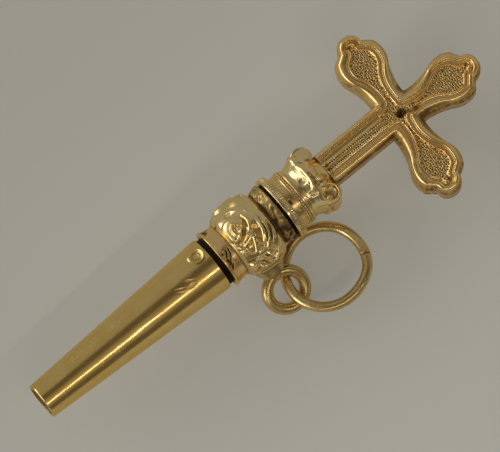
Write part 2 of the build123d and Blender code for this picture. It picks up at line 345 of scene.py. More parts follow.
def split_runs(outline: Array, step: float | Array) -> Array:
    """Adds points on the long runs of a closed outline, so that ornament has points to move.

    Args:
        outline: The outline's points.
        step: The longest run that is left, or one such value for each of the outline's points.

    Returns:
        The outline with more points.
    """
    out = []
    steps = np.broadcast_to(step, len(outline))
    for a, b, longest in zip(outline, np.roll(outline, -1, axis=0), steps):
        pieces = max(1, math.ceil(float(np.hypot(*(b - a))) / longest))
        for t in np.linspace(0, 1, pieces, endpoint=False):
            out.append(a + (b - a) * t)
    return np.array(out)


def band_outline(
    start: float, end: float, inner: float, outer: tuple[float, float], rounds: tuple[float, float]
) -> Array:
    """Draws the outline of a plain ring that is wider than it is deep.

    Args:
        start: Where the ring starts along the key.
        end: Where it ends.
        inner: Its inner radius.
        outer: Its outer radius at the start and at the end.
        rounds: The radius of its outer corner at the start and at the end.

    Returns:
        The outline's points, one row each.
    """
    outside = ((start, outer[0], rounds[0]), (end, outer[1], rounds[1]))
    return round_corners((*outside, (end, inner, 0), (start, inner, 0)))


def turned(
    name: str, outline: Array, segments: int, skin: SkinCall | None = None, above: float = 0.0
) -> bpy.types.Object:
    """Turns a closed outline round the key's axis.

    Args:
        name: The piece's name.
        outline: Points along the key and out from it.
        segments: Points round the key.
        skin: Gives the height of ornament and how dark it is, from places along and turns round the key.
        above: Only points further out than this get the skin, and with one the others get painted shade.

    Returns:
        The new object.
    """
    turns = np.linspace(0, 360, segments, endpoint=False)
    x, turn = np.meshgrid(outline[:, 0], turns, indexing="ij")
    radius = np.repeat(outline[:, 1][:, None], segments, axis=1)
    recess = None
    if skin is not None:
        height, dark = skin(x, turn)
        outside = radius > above
        radius = radius + np.where(outside, height, 0)
        # Points further in, inside tubes and bands, get painted shade.
        recess = np.where(outside, dark, 0.6).reshape(-1)
    angle = np.radians(turn)
    points = np.stack([x, radius * np.sin(angle), radius * np.cos(angle)], -1).reshape(-1, 3)
    return mesh_object(name, points, grid_faces(len(outline), segments, True), recess)


def wrap_turn(turn: Array, centre: float, span: float = 360.0) -> Array:
    """Gives turns as differences from a centre, repeated after each span.

    Args:
        turn: The turns, in degrees.
        centre: The turn that gives 0.
        span: The degrees after which the differences repeat.

    Returns:
        The difference for each turn.
    """
    return (turn - centre + span / 2) % span - span / 2


# Finishes

FLOAT = "NodeSocketFloat"


def new_group(name: str, ins: tuple[str, ...], outs: tuple[str, ...]) -> bpy.types.NodeTree:
    """Starts a shader node group.

    Args:
        name: The group's name.
        ins: The name of each input socket.
        outs: The name of each output socket.

    Returns:
        The group's tree, with its input and output nodes.
    """
    tree = bpy.data.node_groups.new(name, "ShaderNodeTree")
    for labels, way in ((ins, "INPUT"), (outs, "OUTPUT")):
        for label in labels:
            tree.interface.new_socket(name=label, in_out=way, socket_type=FLOAT)
    tree.nodes.new("NodeGroupInput")
    tree.nodes.new("NodeGroupOutput")
    return tree


@dataclass
class NodeDesk:
    """Places and joins nodes in one tree."""

    tree: bpy.types.NodeTree

    def node(self, kind: str, **values: object) -> bpy.types.Node:
        """Places a node and sets its properties.

        Args:
            kind: The node's type.
            values: Properties of the node by name.

        Returns:
            The new node.
        """
        made = self.tree.nodes.new(kind)
        for key, value in values.items():
            setattr(made, key, value)
        return made

    def join(self, source: bpy.types.NodeSocket, target: bpy.types.NodeSocket) -> None:
        """Links one socket to another."""
        self.tree.links.new(source, target)

    def feed(self, target: bpy.types.NodeSocket, value: object) -> None:
        """Links a socket, or sets a plain value.

        Args:
            target: The input socket.
            value: A socket or a plain value.
        """
        if isinstance(value, bpy.types.NodeSocket):
            self.join(value, target)
        else:
            target.default_value = value

    def set_values(self, node: bpy.types.Node, **values: float) -> None:
        """Sets plain values on a node's inputs by their names."""
        for label, value in values.items():
            node.inputs[label].default_value = value

    def math(self, operation: str, a: object, b: object = 0.0, clamp: bool = False) -> bpy.types.NodeSocket:
        """Places a calculation on two values.

        Args:
            operation: The node's operation.
            a: A socket or a number.
            b: A socket or a number.
            clamp: Whether the result stays between 0 and 1.

        Returns:
            The result's socket.
        """
        made = self.node("ShaderNodeMath", operation=operation, use_clamp=clamp)
        self.feed(made.inputs[0], a)
        self.feed(made.inputs[1], b)
        return made.outputs[0]

    def noise(
        self, vector: bpy.types.NodeSocket, scale: float, detail: float, roughness: float = 0.55
    ) -> bpy.types.NodeSocket:
        """Places a noise texture.

        Args:
            vector: The socket that gives places.
            scale: How fine the noise is.
            detail: Octaves of the noise.
            roughness: How strong the fine octaves are.

        Returns:
            The noise's value socket.
        """
        made = self.node("ShaderNodeTexNoise")
        self.join(vector, made.inputs["Vector"])
        self.set_values(made, Scale=scale, Detail=detail, Roughness=roughness)
        return made.outputs[0]

    def window(self, value: object, low: float, high: float) -> bpy.types.NodeSocket:
        """Maps a value so that low gives 0 and high gives 1, smoothly.

        Args:
            value: The socket to map.
            low: The value that gives 0.
            high: The value that gives 1.

        Returns:
            The mapped socket.
        """
        made = self.node("ShaderNodeMapRange", interpolation_type="SMOOTHSTEP")
        self.feed(made.inputs["Value"], value)
        self.set_values(made, **{"From Min": low, "From Max": high})
        return made.outputs["Result"]

    def towards(
        self, way: bpy.types.NodeSocket, direction: Vector, inner: float, outer: float
    ) -> bpy.types.NodeSocket:
        """Maps looking along a direction to 1 and looking elsewhere to 0.

        Args:
            way: The socket that gives which way is looked.
            direction: The direction that gives 1.
            inner: The angle from it within which 1 holds, in degrees.
            outer: The angle from which on 0 holds, in degrees.

        Returns:
            The mapped socket.
        """
        made = self.node("ShaderNodeVectorMath", operation="DOT_PRODUCT")
        self.join(way, made.inputs[0])
        made.inputs[1].default_value = tuple(direction)
        low = math.cos(math.radians(outer))
        return self.window(made.outputs["Value"], low, math.cos(math.radians(inner)))

    def blend(self, share: object, a: object, b: object) -> bpy.types.NodeSocket:
        """Mixes two colours.

        Args:
            share: How much of the second colour shows.
            a: First colour, a socket or four numbers.
            b: Second colour, a socket or four numbers.

        Returns:
            The mixed colour's socket.
        """
        made = self.node("ShaderNodeMix", data_type="RGBA")
        self.feed(made.inputs[0], share)
        self.feed(made.inputs[6], a)
        self.feed(made.inputs[7], b)
        return made.outputs[2]


def wear_group() -> bpy.types.NodeTree:
    """Makes the group that gives scratches, small dents and mottling to worn metal.

    Returns:
        The group's tree.
    """
    tree = new_group("handling_wear", ("Scratches", "Dents", "Grain"), ("Height", "Mottle", "Scuffs"))
    desk = NodeDesk(tree)
    source = tree.nodes["Group Input"]
    out = tree.nodes["Group Output"]
    place = desk.node("ShaderNodeTexCoord").outputs["Object"]
    lines = []
    for stretch, turn, strength in (((260, 5200, 5200), 0.1, 1.0), ((3600, 420, 3900), -0.6, 0.3)):
        mapping = desk.node("ShaderNodeMapping")
        desk.join(place, mapping.inputs["Vector"])
        mapping.inputs["Rotation"].default_value = (0, 0, turn)
        mapping.inputs["Scale"].default_value = stretch
        value = desk.noise(mapping.outputs[0], 1.0, 2.0)
        away = desk.math("ABSOLUTE", desk.math("SUBTRACT", value, 0.5))
        lines.append(desk.math("MULTIPLY", desk.window(away, 0.022, 0.0), strength))
    patch = desk.window(desk.noise(place, 420.0, 3.0), 0.48, 0.62)
    scuffs = desk.math("MULTIPLY", desk.math("MAXIMUM", lines[0], lines[1]), patch)
    dents = desk.noise(place, 900.0, 3.0, 0.45)
    grain = desk.noise(place, 9000.0, 2.0)
    height = desk.math("MULTIPLY", dents, source.outputs["Dents"])
    height = desk.math("ADD", height, desk.math("MULTIPLY", grain, source.outputs["Grain"]))
    height = desk.math("SUBTRACT", height, desk.math("MULTIPLY", scuffs, source.outputs["Scratches"]))
    desk.join(height, out.inputs["Height"])
    desk.join(desk.window(desk.noise(place, 520.0, 5.0, 0.6), 0.32, 0.7), out.inputs["Mottle"])
    desk.join(scuffs, out.inputs["Scuffs"])
    return tree


def shade_and_grime_group() -> bpy.types.NodeTree:
    """Makes the group that masks painted shade in corners and in cut ornament, and dirt.

    Returns:
        The group's tree.
    """
    tree = new_group("painted_shade_and_grime", ("Reach", "Amount", "Overall"), ("Mask",))
    desk = NodeDesk(tree)
    source = tree.nodes["Group Input"]
    out = tree.nodes["Group Output"]
    place = desk.node("ShaderNodeTexCoord").outputs["Object"]
    # Ambient occlusion: painted shade in corners and crevices.
    corner = desk.node("ShaderNodeAmbientOcclusion", samples=6)
    desk.join(source.outputs["Reach"], corner.inputs["Distance"])
    occlusion_shade = desk.math("SUBTRACT", 1.0, corner.outputs["AO"])
    occlusion_shade = desk.window(occlusion_shade, 0.25, 0.95)
    # The darkness set on the points: painted shade in hollows, at joins and on shaded sides, with dark
    # joints and dirt.
    cut = desk.node("ShaderNodeAttribute", attribute_name="recess").outputs["Fac"]
    mask = desk.math("MULTIPLY", desk.math("MAXIMUM", occlusion_shade, cut), source.outputs["Amount"])
    # Broken noise breaks up the mask; spread all over, it is dirt.
    broken = desk.window(desk.noise(place, 2600.0, 4.0, 0.6), 0.25, 0.6)
    spread = desk.math("MULTIPLY", broken, source.outputs["Overall"])
    mask = desk.math("MULTIPLY", mask, desk.math("ADD", broken, 0.45), True)
    mask = desk.math("MAXIMUM", mask, spread, True)
    desk.join(mask, out.inputs["Mask"])
    return tree


@dataclass(frozen=True)
class MetalFinish:
    """A worn metal: its colours, how it shines and how it is marked.

    Painted shade and dirt gather in corners over its reach, in millimetres, and dull its shine and metal
    look.
    """

    name: str
    colour: tuple[float, float, float]
    warm_colour: tuple[float, float, float]
    shade_and_grime_colour: tuple[float, float, float]
    roughness: float
    roughness_spread: float
    scratches: float
    dents: float
    grain: float
    bump: float
    shade_and_grime: float
    grime_all_over: float = 0.0
    reach: float = 0.35
    edge_tint: tuple[float, float, float] = (1.0, 0.88, 0.66)
    bump_depth: float = 0.012

    def material(self, wear: bpy.types.NodeTree, shade_and_grime: bpy.types.NodeTree) -> bpy.types.Material:
        """Builds the finish as a material.

        Args:
            wear: The group for scratches and dents.
            shade_and_grime: The group for dark recesses.

        Returns:
            The new material.
        """
        made = bpy.data.materials.new(self.name)
        made.use_nodes = True
        tree = made.node_tree
        desk = NodeDesk(tree)
        shader = tree.nodes["Principled BSDF"]
        marks = desk.node("ShaderNodeGroup", node_tree=wear)
        shade_and_dirt = desk.node("ShaderNodeGroup", node_tree=shade_and_grime)
        desk.set_values(marks, Scratches=self.scratches, Dents=self.dents, Grain=self.grain)
        desk.set_values(shade_and_dirt, Reach=self.reach * MM, Amount=self.shade_and_grime, Overall=self.grime_all_over)
        # The mask carries painted shade and dirt: it darkens the colour and dulls the shine.
        mask = shade_and_dirt.outputs["Mask"]
        colour = desk.blend(marks.outputs["Mottle"], (*self.colour, 1), (*self.warm_colour, 1))
        desk.join(desk.blend(mask, colour, (*self.shade_and_grime_colour, 1)), shader.inputs["Base Color"])
        shine = desk.math("MULTIPLY", marks.outputs["Mottle"], self.roughness_spread)
        shine = desk.math("ADD", shine, desk.math("MULTIPLY", marks.outputs["Scuffs"], 0.12))
        shine = desk.math("ADD", shine, desk.math("MULTIPLY", mask, 0.4))
        desk.join(desk.math("ADD", shine, self.roughness), shader.inputs["Roughness"])
        desk.join(desk.math("SUBTRACT", 1.0, desk.math("MULTIPLY", mask, 0.45)), shader.inputs["Metallic"])
        shader.inputs["Specular Tint"].default_value = (*self.edge_tint, 1)
        bump = desk.node("ShaderNodeBump")
        bump.inputs["Strength"].default_value = self.bump
        bump.inputs["Distance"].default_value = self.bump_depth * MM
        desk.join(marks.outputs["Height"], bump.inputs["Height"])
        desk.join(bump.outputs["Normal"], shader.inputs["Normal"])
        return made


@dataclass
class FinishRack:
    """All the finishes of the key, each built once."""

    made: dict[str, bpy.types.Material] = field(default_factory=dict)

    def build(self) -> None:
        """Builds every finish."""
        wear = wear_group()
        shade_and_grime = shade_and_grime_group()
        for finish in FINISHES:
            self.made[finish.name] = finish.material(wear, shade_and_grime)

    def dress(self, piece: bpy.types.Object, finish: str) -> None:
        """Puts a finish on a piece in place of whatever it has."""
        piece.data.materials.clear()
        piece.data.materials.append(self.made[finish])


FINISHES = (
    MetalFinish(
        "gold_barrel", (0.84, 0.60, 0.22), (0.80, 0.54, 0.17), (0.10, 0.06, 0.02),
        roughness=0.15, roughness_spread=0.05, scratches=0.45, dents=0.3, grain=0.02, bump=0.3,
        shade_and_grime=0.7,
    ),
    MetalFinish(
        "gold_polished", (0.91, 0.72, 0.36), (0.87, 0.65, 0.29), (0.20, 0.14, 0.065),
        roughness=0.16, roughness_spread=0.06, scratches=0.6, dents=0.5, grain=0.03, bump=0.35,
        shade_and_grime=0.7, reach=0.2,
    ),
    MetalFinish(
        "gold_satin", (1.0, 0.74, 0.33), (0.97, 0.63, 0.22), (0.23, 0.115, 0.028),
        roughness=0.15, roughness_spread=0.10, scratches=0.5, dents=0.5, grain=0.2, bump=0.45,
        shade_and_grime=0.8, reach=0.18,
    ),
    MetalFinish(
        "gold_collar", (0.92, 0.66, 0.27), (0.84, 0.54, 0.19), (0.07, 0.04, 0.015),
        roughness=0.20, roughness_spread=0.10, scratches=0.8, dents=0.6, grain=0.1, bump=0.5,
        shade_and_grime=0.9, reach=0.25,
    ),
    MetalFinish(
        "gold_loop", (0.80, 0.60, 0.27), (0.73, 0.51, 0.20), (0.10, 0.06, 0.025),
        roughness=0.16, roughness_spread=0.10, scratches=0.8, dents=0.7, grain=0.1, bump=0.5,
        shade_and_grime=0.9, grime_all_over=0.16, reach=0.25,
    ),
    MetalFinish(
        "gold_tarnished", (0.80, 0.56, 0.21), (0.64, 0.41, 0.14), (0.085, 0.052, 0.03),
        roughness=0.24, roughness_spread=0.14, scratches=0.8, dents=0.8, grain=0.2, bump=0.6,
        shade_and_grime=1.0, grime_all_over=0.45,
    ),
    MetalFinish(
        "washer_black", (0.05, 0.035, 0.02), (0.03, 0.02, 0.012), (0.008, 0.006, 0.005),
        roughness=0.45, roughness_spread=0.15, scratches=0.3, dents=0.3, grain=0.3, bump=0.4,
        shade_and_grime=1.0, grime_all_over=0.8,
    ),
    MetalFinish(
        "old_steel", (0.34, 0.32, 0.30), (0.22, 0.18, 0.15), (0.03, 0.02, 0.015),
        roughness=0.32, roughness_spread=0.15, scratches=0.9, dents=0.5, grain=0.3, bump=0.5,
        shade_and_grime=1.0, grime_all_over=0.3,
    ),
    MetalFinish(
        "inner_brass", (0.72, 0.52, 0.24), (0.6, 0.4, 0.16), (0.08, 0.05, 0.02),
        roughness=0.28, roughness_spread=0.1, scratches=0.8, dents=0.4, grain=0.2, bump=0.4,
        shade_and_grime=0.8,
    ),
)


@dataclass
class Workshop:
    """Puts finished pieces on their bodies."""

    rack: FinishRack

    def place(self, piece: bpy.types.Object, body: str, finish: str, slot: str, *nodes: str) -> None:
        """Dresses a piece, ties it to a body and lets it stand for solids.

        Args:
            piece: The piece.
            body: The body it rides on.
            finish: The finish's name.
            slot: The record's material slot; not used.
            nodes: The solids that it replaces.
        """
        self.rack.dress(piece, finish)
        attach(piece, body)
        if nodes:
            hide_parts(*nodes)
        log.info("%s: %d faces, %s, rides on %s", piece.name, len(piece.data.polygons), finish, body)

    def dress_solids(self, finish: str, *nodes: str) -> None:
        """Gives solids that stay as they are one of the finishes.

        Args:
            finish: The finish's name.
            nodes: The solids.
        """
        for node in nodes:
            self.rack.dress(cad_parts[node], finish)
            log.info("%s: solid kept, %s", node, finish)


# Barrel

BARREL_MARKS = Relief(
    (
        Stroke(((13.65, 0.02), (14.15, -0.30), (14.75, -0.62)), 0.06, -0.045),
        Stroke(((14.75, 0.10), (15.2, -0.25), (15.75, -0.64)), 0.075, -0.055),
        Stroke(((13.6, -0.35), (14.5, -0.85)), 0.05, -0.02),
        Stroke(((11.4, -0.3), (12.1, -0.55)), 0.04, -0.012),
        Boss((15.2, -0.75), (0.5, 0.2), -0.015),
        Boss((5.2, 0.9), (1.6, 0.5), -0.012, 10, 2),
        Boss((9.6, -0.9), (2.0, 0.45), -0.01, -8, 2),
    )
)


@dataclass(frozen=True)
class Barrel:
    """The tapered tube, with its rounded mouth, the pin's dished mark and a few deep scratches."""

    length: float = 17.8
    mouth_radius: float = 1.58
    top_radius: float = 2.42
    wall: float = 0.32
    pin_place: float = 16.95
    pin_turn: float = 24.0
    dish_radius: float = 0.58
    dish_depth: float = 0.13
    pin_radius: float = 0.36
    marked_from: float = 13.2
    fine_step: float = 0.06
    coarse_step: float = 0.45
    segments: int = 288

    def radius(self, x: Array | float) -> Array | float:
        """Gives the plain outer radius at places along the barrel."""
        return self.mouth_radius + (self.top_radius - self.mouth_radius) * x / self.length

    def skin(self, x: Array, turn: Array) -> tuple[Array, Array]:
        """Gives the barrel's marks: the pin's dish with its burr, scratches and slight hollows.

        Args:
            x: Places along the key.
            turn: Turns round it.

        Returns:
            The height of the marks and how dark they are, at each point.
        """
        v = np.radians(wrap_turn(turn, 0)) * self.radius(x)
        gap = np.hypot(x - self.pin_place, v - math.radians(self.pin_turn) * self.radius(self.pin_place))
        dish = -self.dish_depth * dome(gap, self.dish_radius, 1.2)
        burr = 0.035 * hump(gap, self.dish_radius + 0.04, 0.1)
        seat = -0.04 * hump(gap, self.pin_radius, 0.05)
        wave = 0.006 * np.sin(x * 1.1) * np.cos(np.radians(turn) * 2 + 1)
        # Painted shade round the pin's seat and at the top end, beside the seam.
        dark = 0.7 * hump(gap, self.pin_radius, 0.08) + 0.5 * np.clip((x - self.length + 0.08) / 0.08, 0, 1)
        return dish + burr + seat + BARREL_MARKS.heights(x, v) + wave, dark

    def build(self, shop: Workshop) -> None:
        """Makes the barrel case and dresses the solids inside it.

        Args:
            shop: Where pieces are dressed.
        """
        outline = round_corners(
            (
                (0, self.mouth_radius, 0.17),
                (self.marked_from, self.radius(self.marked_from), 0),
                (self.length, self.top_radius, 0.05),
                (self.length, self.top_radius - self.wall, 0.03),
                (0, self.mouth_radius - self.wall, 0.06),
            ),
            5,
        )
        marked = (outline[:, 0] >= self.marked_from) & (outline[:, 1] > self.top_radius - 0.25)
        outline = split_runs(outline, np.where(marked, self.fine_step, self.coarse_step))
        piece = turned("barrel_tube", outline, self.segments, self.skin, self.mouth_radius - 0.12)
        shop.place(piece, "key", "gold_barrel", "gold_worn", "barrel_case")
        shop.dress_solids("old_steel", "winding_pipe", "locking_pin", "spindle")
        shop.dress_solids("inner_brass", "barrel_plug")
        shop.dress_solids("washer_black", "lower_washer", "upper_washer")


# Swivel sleeve

EYE_TURN = 32.0

BULGE_FORMS = Relief(
    (
        Boss((0.98, 2.45), (1.05, 1.32), 0.17, 0, 0.9, 6.0),
        Boss((2.70, 5.10), (1.00, 1.00), 0.10, 0, 1.6),
        Boss((3.10, -0.50), (0.32, 0.46), 0.26, -25, 0.7),
        Boss((0.64, -1.42), (0.40, 0.34), 0.24, 0, 0.7),
        Boss((1.13, -2.24), (0.18, 0.32), 0.18, 0, 0.7),
        Boss((1.46, -2.34), (0.36, 0.26), 0.22, -30, 0.7),
        Boss((2.30, -1.45), (0.28, 0.42), 0.24, 35, 0.7),
        Stroke(
            ((1.12, 2.72), (1.40, 2.47), (1.44, 2.11), (1.20, 1.81), (0.84, 1.83), (0.76, 2.25),
             (0.87, 2.61), (1.12, 2.72)),
            0.16, 0.11, Taper.NONE,
        ),
        Stroke(((1.05, 2.40), (1.12, 2.44)), 0.15, 0.08, Taper.NONE),
        Stroke(((1.14, 1.98), (1.26, 2.04)), 0.12, 0.06, Taper.NONE),
        Stroke(((0.70, 1.54), (0.96, 1.60), (1.20, 1.77)), 0.20, 0.12),
        Boss((1.10, 2.25), (0.30, 0.40), -0.09, 0, 0.8),
        Stroke(
            ((2.13, 3.14), (1.97, 2.42), (1.68, 1.93), (1.19, 1.40), (0.64, 1.24), (0.18, 1.50)),
            0.22, -0.17,
        ),
        Stroke(
            ((2.23, 2.95), (2.27, 2.32), (2.13, 1.83), (1.78, 1.42), (1.27, 1.12), (0.66, 0.98)),
            0.31, 0.22,
        ),
        Stroke(((2.11, 1.52), (1.83, 1.12), (1.35, 0.84), (0.80, 0.70), (0.28, 0.78)), 0.22, 0.19),
        Stroke(
            ((0.41, 0.74), (0.73, 0.57), (0.82, 0.21), (0.95, -0.15), (1.20, -0.30), (1.42, -0.01),
             (1.60, 0.45), (1.79, 0.88)),
            0.20, 0.22, Taper.NONE,
        ),
        Boss((1.17, 0.30), (0.30, 0.42), 0.06, 0, 1.0),
        Stroke(((2.52, 1.95), (2.42, 1.17), (2.16, 0.50), (1.98, 0.20)), 0.24, -0.12),
        Stroke(((1.80, 0.14), (1.92, 0.18)), 0.16, 0.12, Taper.NONE),
        Stroke(((2.16, -0.06), (2.28, -0.02)), 0.15, 0.11, Taper.NONE),
        Stroke(
            ((2.66, 3.20), (2.88, 2.13), (2.88, 1.33), (2.79, 0.94), (2.60, 0.50), (2.36, 0.05)),
            0.33, 0.25, Taper.GROW,
        ),
        Stroke(
            ((3.06, 3.10), (3.23, 1.83), (3.20, 1.01), (2.95, 0.37), (2.68, -0.10), (2.38, -0.56)),
            0.33, 0.27, Taper.GROW,
        ),
        Stroke(
            ((3.40, 3.00), (3.62, 1.61), (3.60, 0.54), (3.40, 0.07), (3.13, -0.34), (2.95, -0.86)),
            0.42, 0.30, Taper.GROW,
        ),
        Stroke(((3.04, 1.60), (3.02, 0.95), (2.76, 0.30), (2.5, -0.12)), 0.09, -0.10),
        Stroke(((3.42, 1.30), (3.36, 0.62), (3.10, 0.10), (2.78, -0.45)), 0.10, -0.12),
        Stroke(((0.95, 4.25), (1.40, 4.05), (1.95, 3.80)), 0.30, -0.08),
        Stroke(((0.12, -0.80), (0.57, -1.00), (1.30, -1.02)), 0.17, -0.17),
        Stroke(((0.40, -2.18), (0.82, -1.76), (1.05, -1.90)), 0.11, -0.15),
        Stroke(((0.92, -3.10), (0.84, -2.49), (0.98, -2.12)), 0.11, -0.12),
        Stroke(((0.91, -1.42), (1.43, -1.82), (1.90, -2.49), (2.37, -3.01)), 0.17, -0.16),
        Stroke(
            ((1.50, -1.00), (1.58, -1.63), (1.95, -2.22), (2.44, -2.26), (2.88, -1.70), (3.20, -1.20)),
            0.20, 0.18,
        ),
        Stroke(((1.76, -1.15), (2.00, -1.67), (2.44, -2.02)), 0.12, -0.15),
        Stroke(((1.40, -0.72), (1.85, -0.55), (2.3, -0.72)), 0.17, 0.10),
        Stroke(((0.40, -3.2), (1.2, -3.6), (2.4, -3.5), (3.3, -3.0)), 0.28, 0.14),
        Stroke(((0.50, -4.3), (1.4, -4.6), (2.6, -4.3)), 0.26, 0.12),
    )
)

COLLAR_LEAF = Relief(
    (
        Stroke(((0.22, -0.50), (0.55, -0.22), (0.85, 0.20), (1.02, 0.80)), 0.12, -0.09, Taper.NONE),
        Stroke(((0.22, 0.05), (0.50, 0.25), (0.70, 0.60), (0.75, 1.05)), 0.14, -0.09),
        Stroke(((0.20, -1.05), (0.45, -0.78), (0.72, -0.35)), 0.14, -0.09),
        Stroke(((0.20, -0.66), (0.42, -0.52), (0.60, -0.10)), 0.12, -0.08),
        Boss((0.38, -0.08), (0.17, 0.22), -0.09),
        Boss((0.34, 0.58), (0.15, 0.2), -0.09),
        Boss((0.42, -0.74), (0.14, 0.16), -0.08),
        Boss((0.62, 0.92), (0.1, 0.14), -0.07),
    )
)

NECK_LEAF = Relief(
    (
        Stroke(((0.14, -0.90), (0.50, -0.50), (0.75, 0.10), (1.05, 0.35)), 0.17, 0.10),
        Stroke(((0.14, -0.02), (0.40, 0.30), (0.60, 0.75), (1.05, 0.95)), 0.17, 0.10),
        Stroke(((0.18, 0.50), (0.38, 0.85), (0.5, 1.25)), 0.14, 0.09),
        Boss((0.74, -0.62), (0.24, 0.26), 0.09),
        Boss((0.34, -0.25), (0.14, 0.14), -0.06),
        Boss((0.82, 0.62), (0.14, 0.16), -0.06),
    )
)


@dataclass(frozen=True)
class Swivel:
    """The sleeve that turns on the spindle: two collars, the struck bulge, the eye and its saddle.

    A vent or a nick is given by its place along the key and its turn, then by its radius and its depth. The
    leaves of a collar are given by the turn of one, the turn between two and the radius they are drawn at.
    Each row of the saddle's shape gives its distance from the key's axis, half its length and half its
    width.
    """

    start: float = 18.3
    bulge_start: float = 19.6
    bulge_end: float = 23.5
    end: float = 24.5
    inner_radius: float = 1.45
    bulge_shares: tuple[tuple[float, float], ...] = (
        (0.0, 0.0), (0.08, 0.38), (0.25, 0.55), (0.5, 0.66), (0.74, 0.70), (0.9, 0.55), (1.0, 0.0)
    )
    foot_radius: float = 2.45
    top_radius: float = 3.42
    relief_top: float = 3.46
    relief_scale: float = 1.6
    pattern_radius: float = 3.3
    bulge_wall: float = 0.6
    bush_gap: float = 0.15
    bulge_rows: int = 104
    bulge_segments: int = 480
    collar_radius: float = 2.66
    collar_foot: float = 2.42
    neck_radius: float = 2.74
    collar_step: float = 0.05
    collar_segments: int = 300
    skin_above: float = 2.36
    vent: tuple[float, float] = (22.8, 90.0)
    vent_sizes: tuple[float, float] = (0.24, 0.55)
    nick: tuple[float, float] = (19.66, 78.0)
    nick_sizes: tuple[float, float] = (0.2, 0.3)
    lower_leaves: tuple[float, float, float] = (-22.0, 90.0, 2.55)
    neck_leaves: tuple[float, float, float] = (-14.0, 60.0, 2.6)
    eye_centre: tuple[float, float, float] = (21.472, -4.9611, -3.1001)
    eye_normal: tuple[float, float, float] = (0.0, -0.52992, 0.84805)
    eye_radius: float = 1.63
    eye_wire: float = 0.49
    saddle: tuple[tuple[float, float, float], ...] = (
        (3.00, 1.40, 0.62), (3.20, 1.34, 0.60), (3.42, 1.20, 0.57), (3.62, 1.08, 0.555), (3.82, 1.02, 0.55),
        (4.02, 1.02, 0.545), (4.18, 1.03, 0.53), (4.32, 1.02, 0.49), (4.44, 0.98, 0.43), (4.54, 0.90, 0.33),
        (4.60, 0.80, 0.22), (4.63, 0.62, 0.10),
    )
    saddle_bow: float = 0.42
    saddle_points: int = 40

    def bulge_radius(self, x: Array) -> Array:
        """Gives the bulge's radius before its ornament.

        Args:
            x: Places along the key.

        Returns:
            The radius at each place.
        """
        line = curve_through(self.bulge_shares, 12)
        share = (x - self.bulge_start) / (self.bulge_end - self.bulge_start)
        rise = np.interp(share, line[:, 0], line[:, 1])
        return self.foot_radius + (self.top_radius - self.foot_radius) * rise

    def gap_from(self, mark: tuple[float, float], x: Array, turn: Array) -> Array:
        """Gives the distance over the bulge from a mark, whose turn counts from the eye's."""
        return np.hypot(x - mark[0], np.radians(wrap_turn(turn, mark[1] - EYE_TURN)) * self.pattern_radius)

    def bulge_skin(self, x: Array, turn: Array) -> tuple[Array, Array]:
        """Gives the struck ornament, the same on both halves, with seams, a vent and a nick between them.

        Args:
            x: Places along the key.
            turn: Turns round it.

        Returns:
            The height of the ornament and how dark it is, at each point.
        """
        half = wrap_turn(turn, -EYE_TURN, 180.0)
        u = x - self.bulge_start
        struck = BULGE_FORMS.heights(u, np.radians(half) * self.pattern_radius)
        run_out = np.clip(u / 0.35, 0, 1) * np.clip((self.bulge_end - x) / 0.3, 0, 1)
        height = np.minimum(self.relief_scale * struck * run_out, self.relief_top - self.bulge_radius(x))
        seam = hump((np.abs(half) - 90) * math.radians(self.pattern_radius), 0, 0.04)
        ridges = 0.06 * hump(u, 0.07, 0.055) + 0.05 * hump(u, 0.28, 0.055)
        vent = self.gap_from(self.vent, x, turn)
        nick = self.gap_from(self.nick, x, turn)
        height = height - 0.035 * seam + ridges
        for gap, (radius, depth) in ((vent, self.vent_sizes), (nick, self.nick_sizes)):
            height = height - depth * dome(gap, radius, 0.6)
        # Painted shade: in the cuts, at the feet where the bulge meets the collars, and full in the vent and
        # the nick.
        cuts = 0.7 * np.clip((-0.015 - struck) / 0.15, 0, 1)
        feet = 0.6 * (hump(u, 0, 0.08) + hump(x, self.bulge_end, 0.1)) + 0.5 * hump(u, 0.17, 0.05)
        in_hole = (vent < self.vent_sizes[0] - 0.01) | (nick < self.nick_sizes[0])
        return height, np.where(in_hole, 1.0, cuts + feet)

    def build_bulge(self, shop: Workshop) -> None:
        """Makes the struck bulge, hollow as the real shells are.

        Args:
            shop: Where pieces are dressed.
        """
        x = np.linspace(self.bulge_start, self.bulge_end, self.bulge_rows)
        inner_x = x[::-6]
        inner = np.maximum(self.bulge_radius(inner_x) - self.bulge_wall, self.inner_radius + self.bush_gap)
        outline = np.vstack([np.stack([x, self.bulge_radius(x)], -1), np.stack([inner_x, inner], -1)])
        piece = turned("swivel_bulge", outline, self.bulge_segments, self.bulge_skin, 2.3)
        finish = "gold_polished"
        shop.place(piece, "swivel", finish, finish, "swivel_shell_front", "swivel_shell_back")

    def leaf_place(self, turn: Array, leaves: tuple[float, float, float]) -> Array:
        """Gives how far round a leaf turns are, for leaves that repeat round a collar."""
        return np.radians(wrap_turn(turn, leaves[0], leaves[1])) * leaves[2]

    def lower_skin(self, x: Array, turn: Array) -> tuple[Array, Array]:
        """Gives the engraved leaves on the lower collar: their height and painted shade in cuts and at the
        foot.
        """
        cut = COLLAR_LEAF.heights(x - self.start, self.leaf_place(turn, self.lower_leaves))
        return cut, np.clip(-cut / 0.07, 0, 1) * 0.9 + 0.5 * hump(x, self.bulge_start, 0.1)

    def neck_skin(self, x: Array, turn: Array) -> tuple[Array, Array]:
        """Gives the worn leaves on the neck collar, with painted shade on the ring's side and at the foot.

        Args:
            x: Places along the key.
            turn: Turns round it.

        Returns:
            The height of the leaves and how dark they are, at each point.
        """
        raised = NECK_LEAF.heights((x - self.bulge_end) * 1.2, self.leaf_place(turn, self.neck_leaves))
        # Painted shade: darker towards the ring's side and at the foot, lighter on the raised leaves.
        side = 0.5 - 0.5 * np.sin(np.radians(turn))
        dark = 0.85 * np.clip(0.36 + 0.5 * side - raised / 0.14, 0.12, 1)
        return raised, dark + 0.5 * hump(x, self.bulge_end, 0.15)

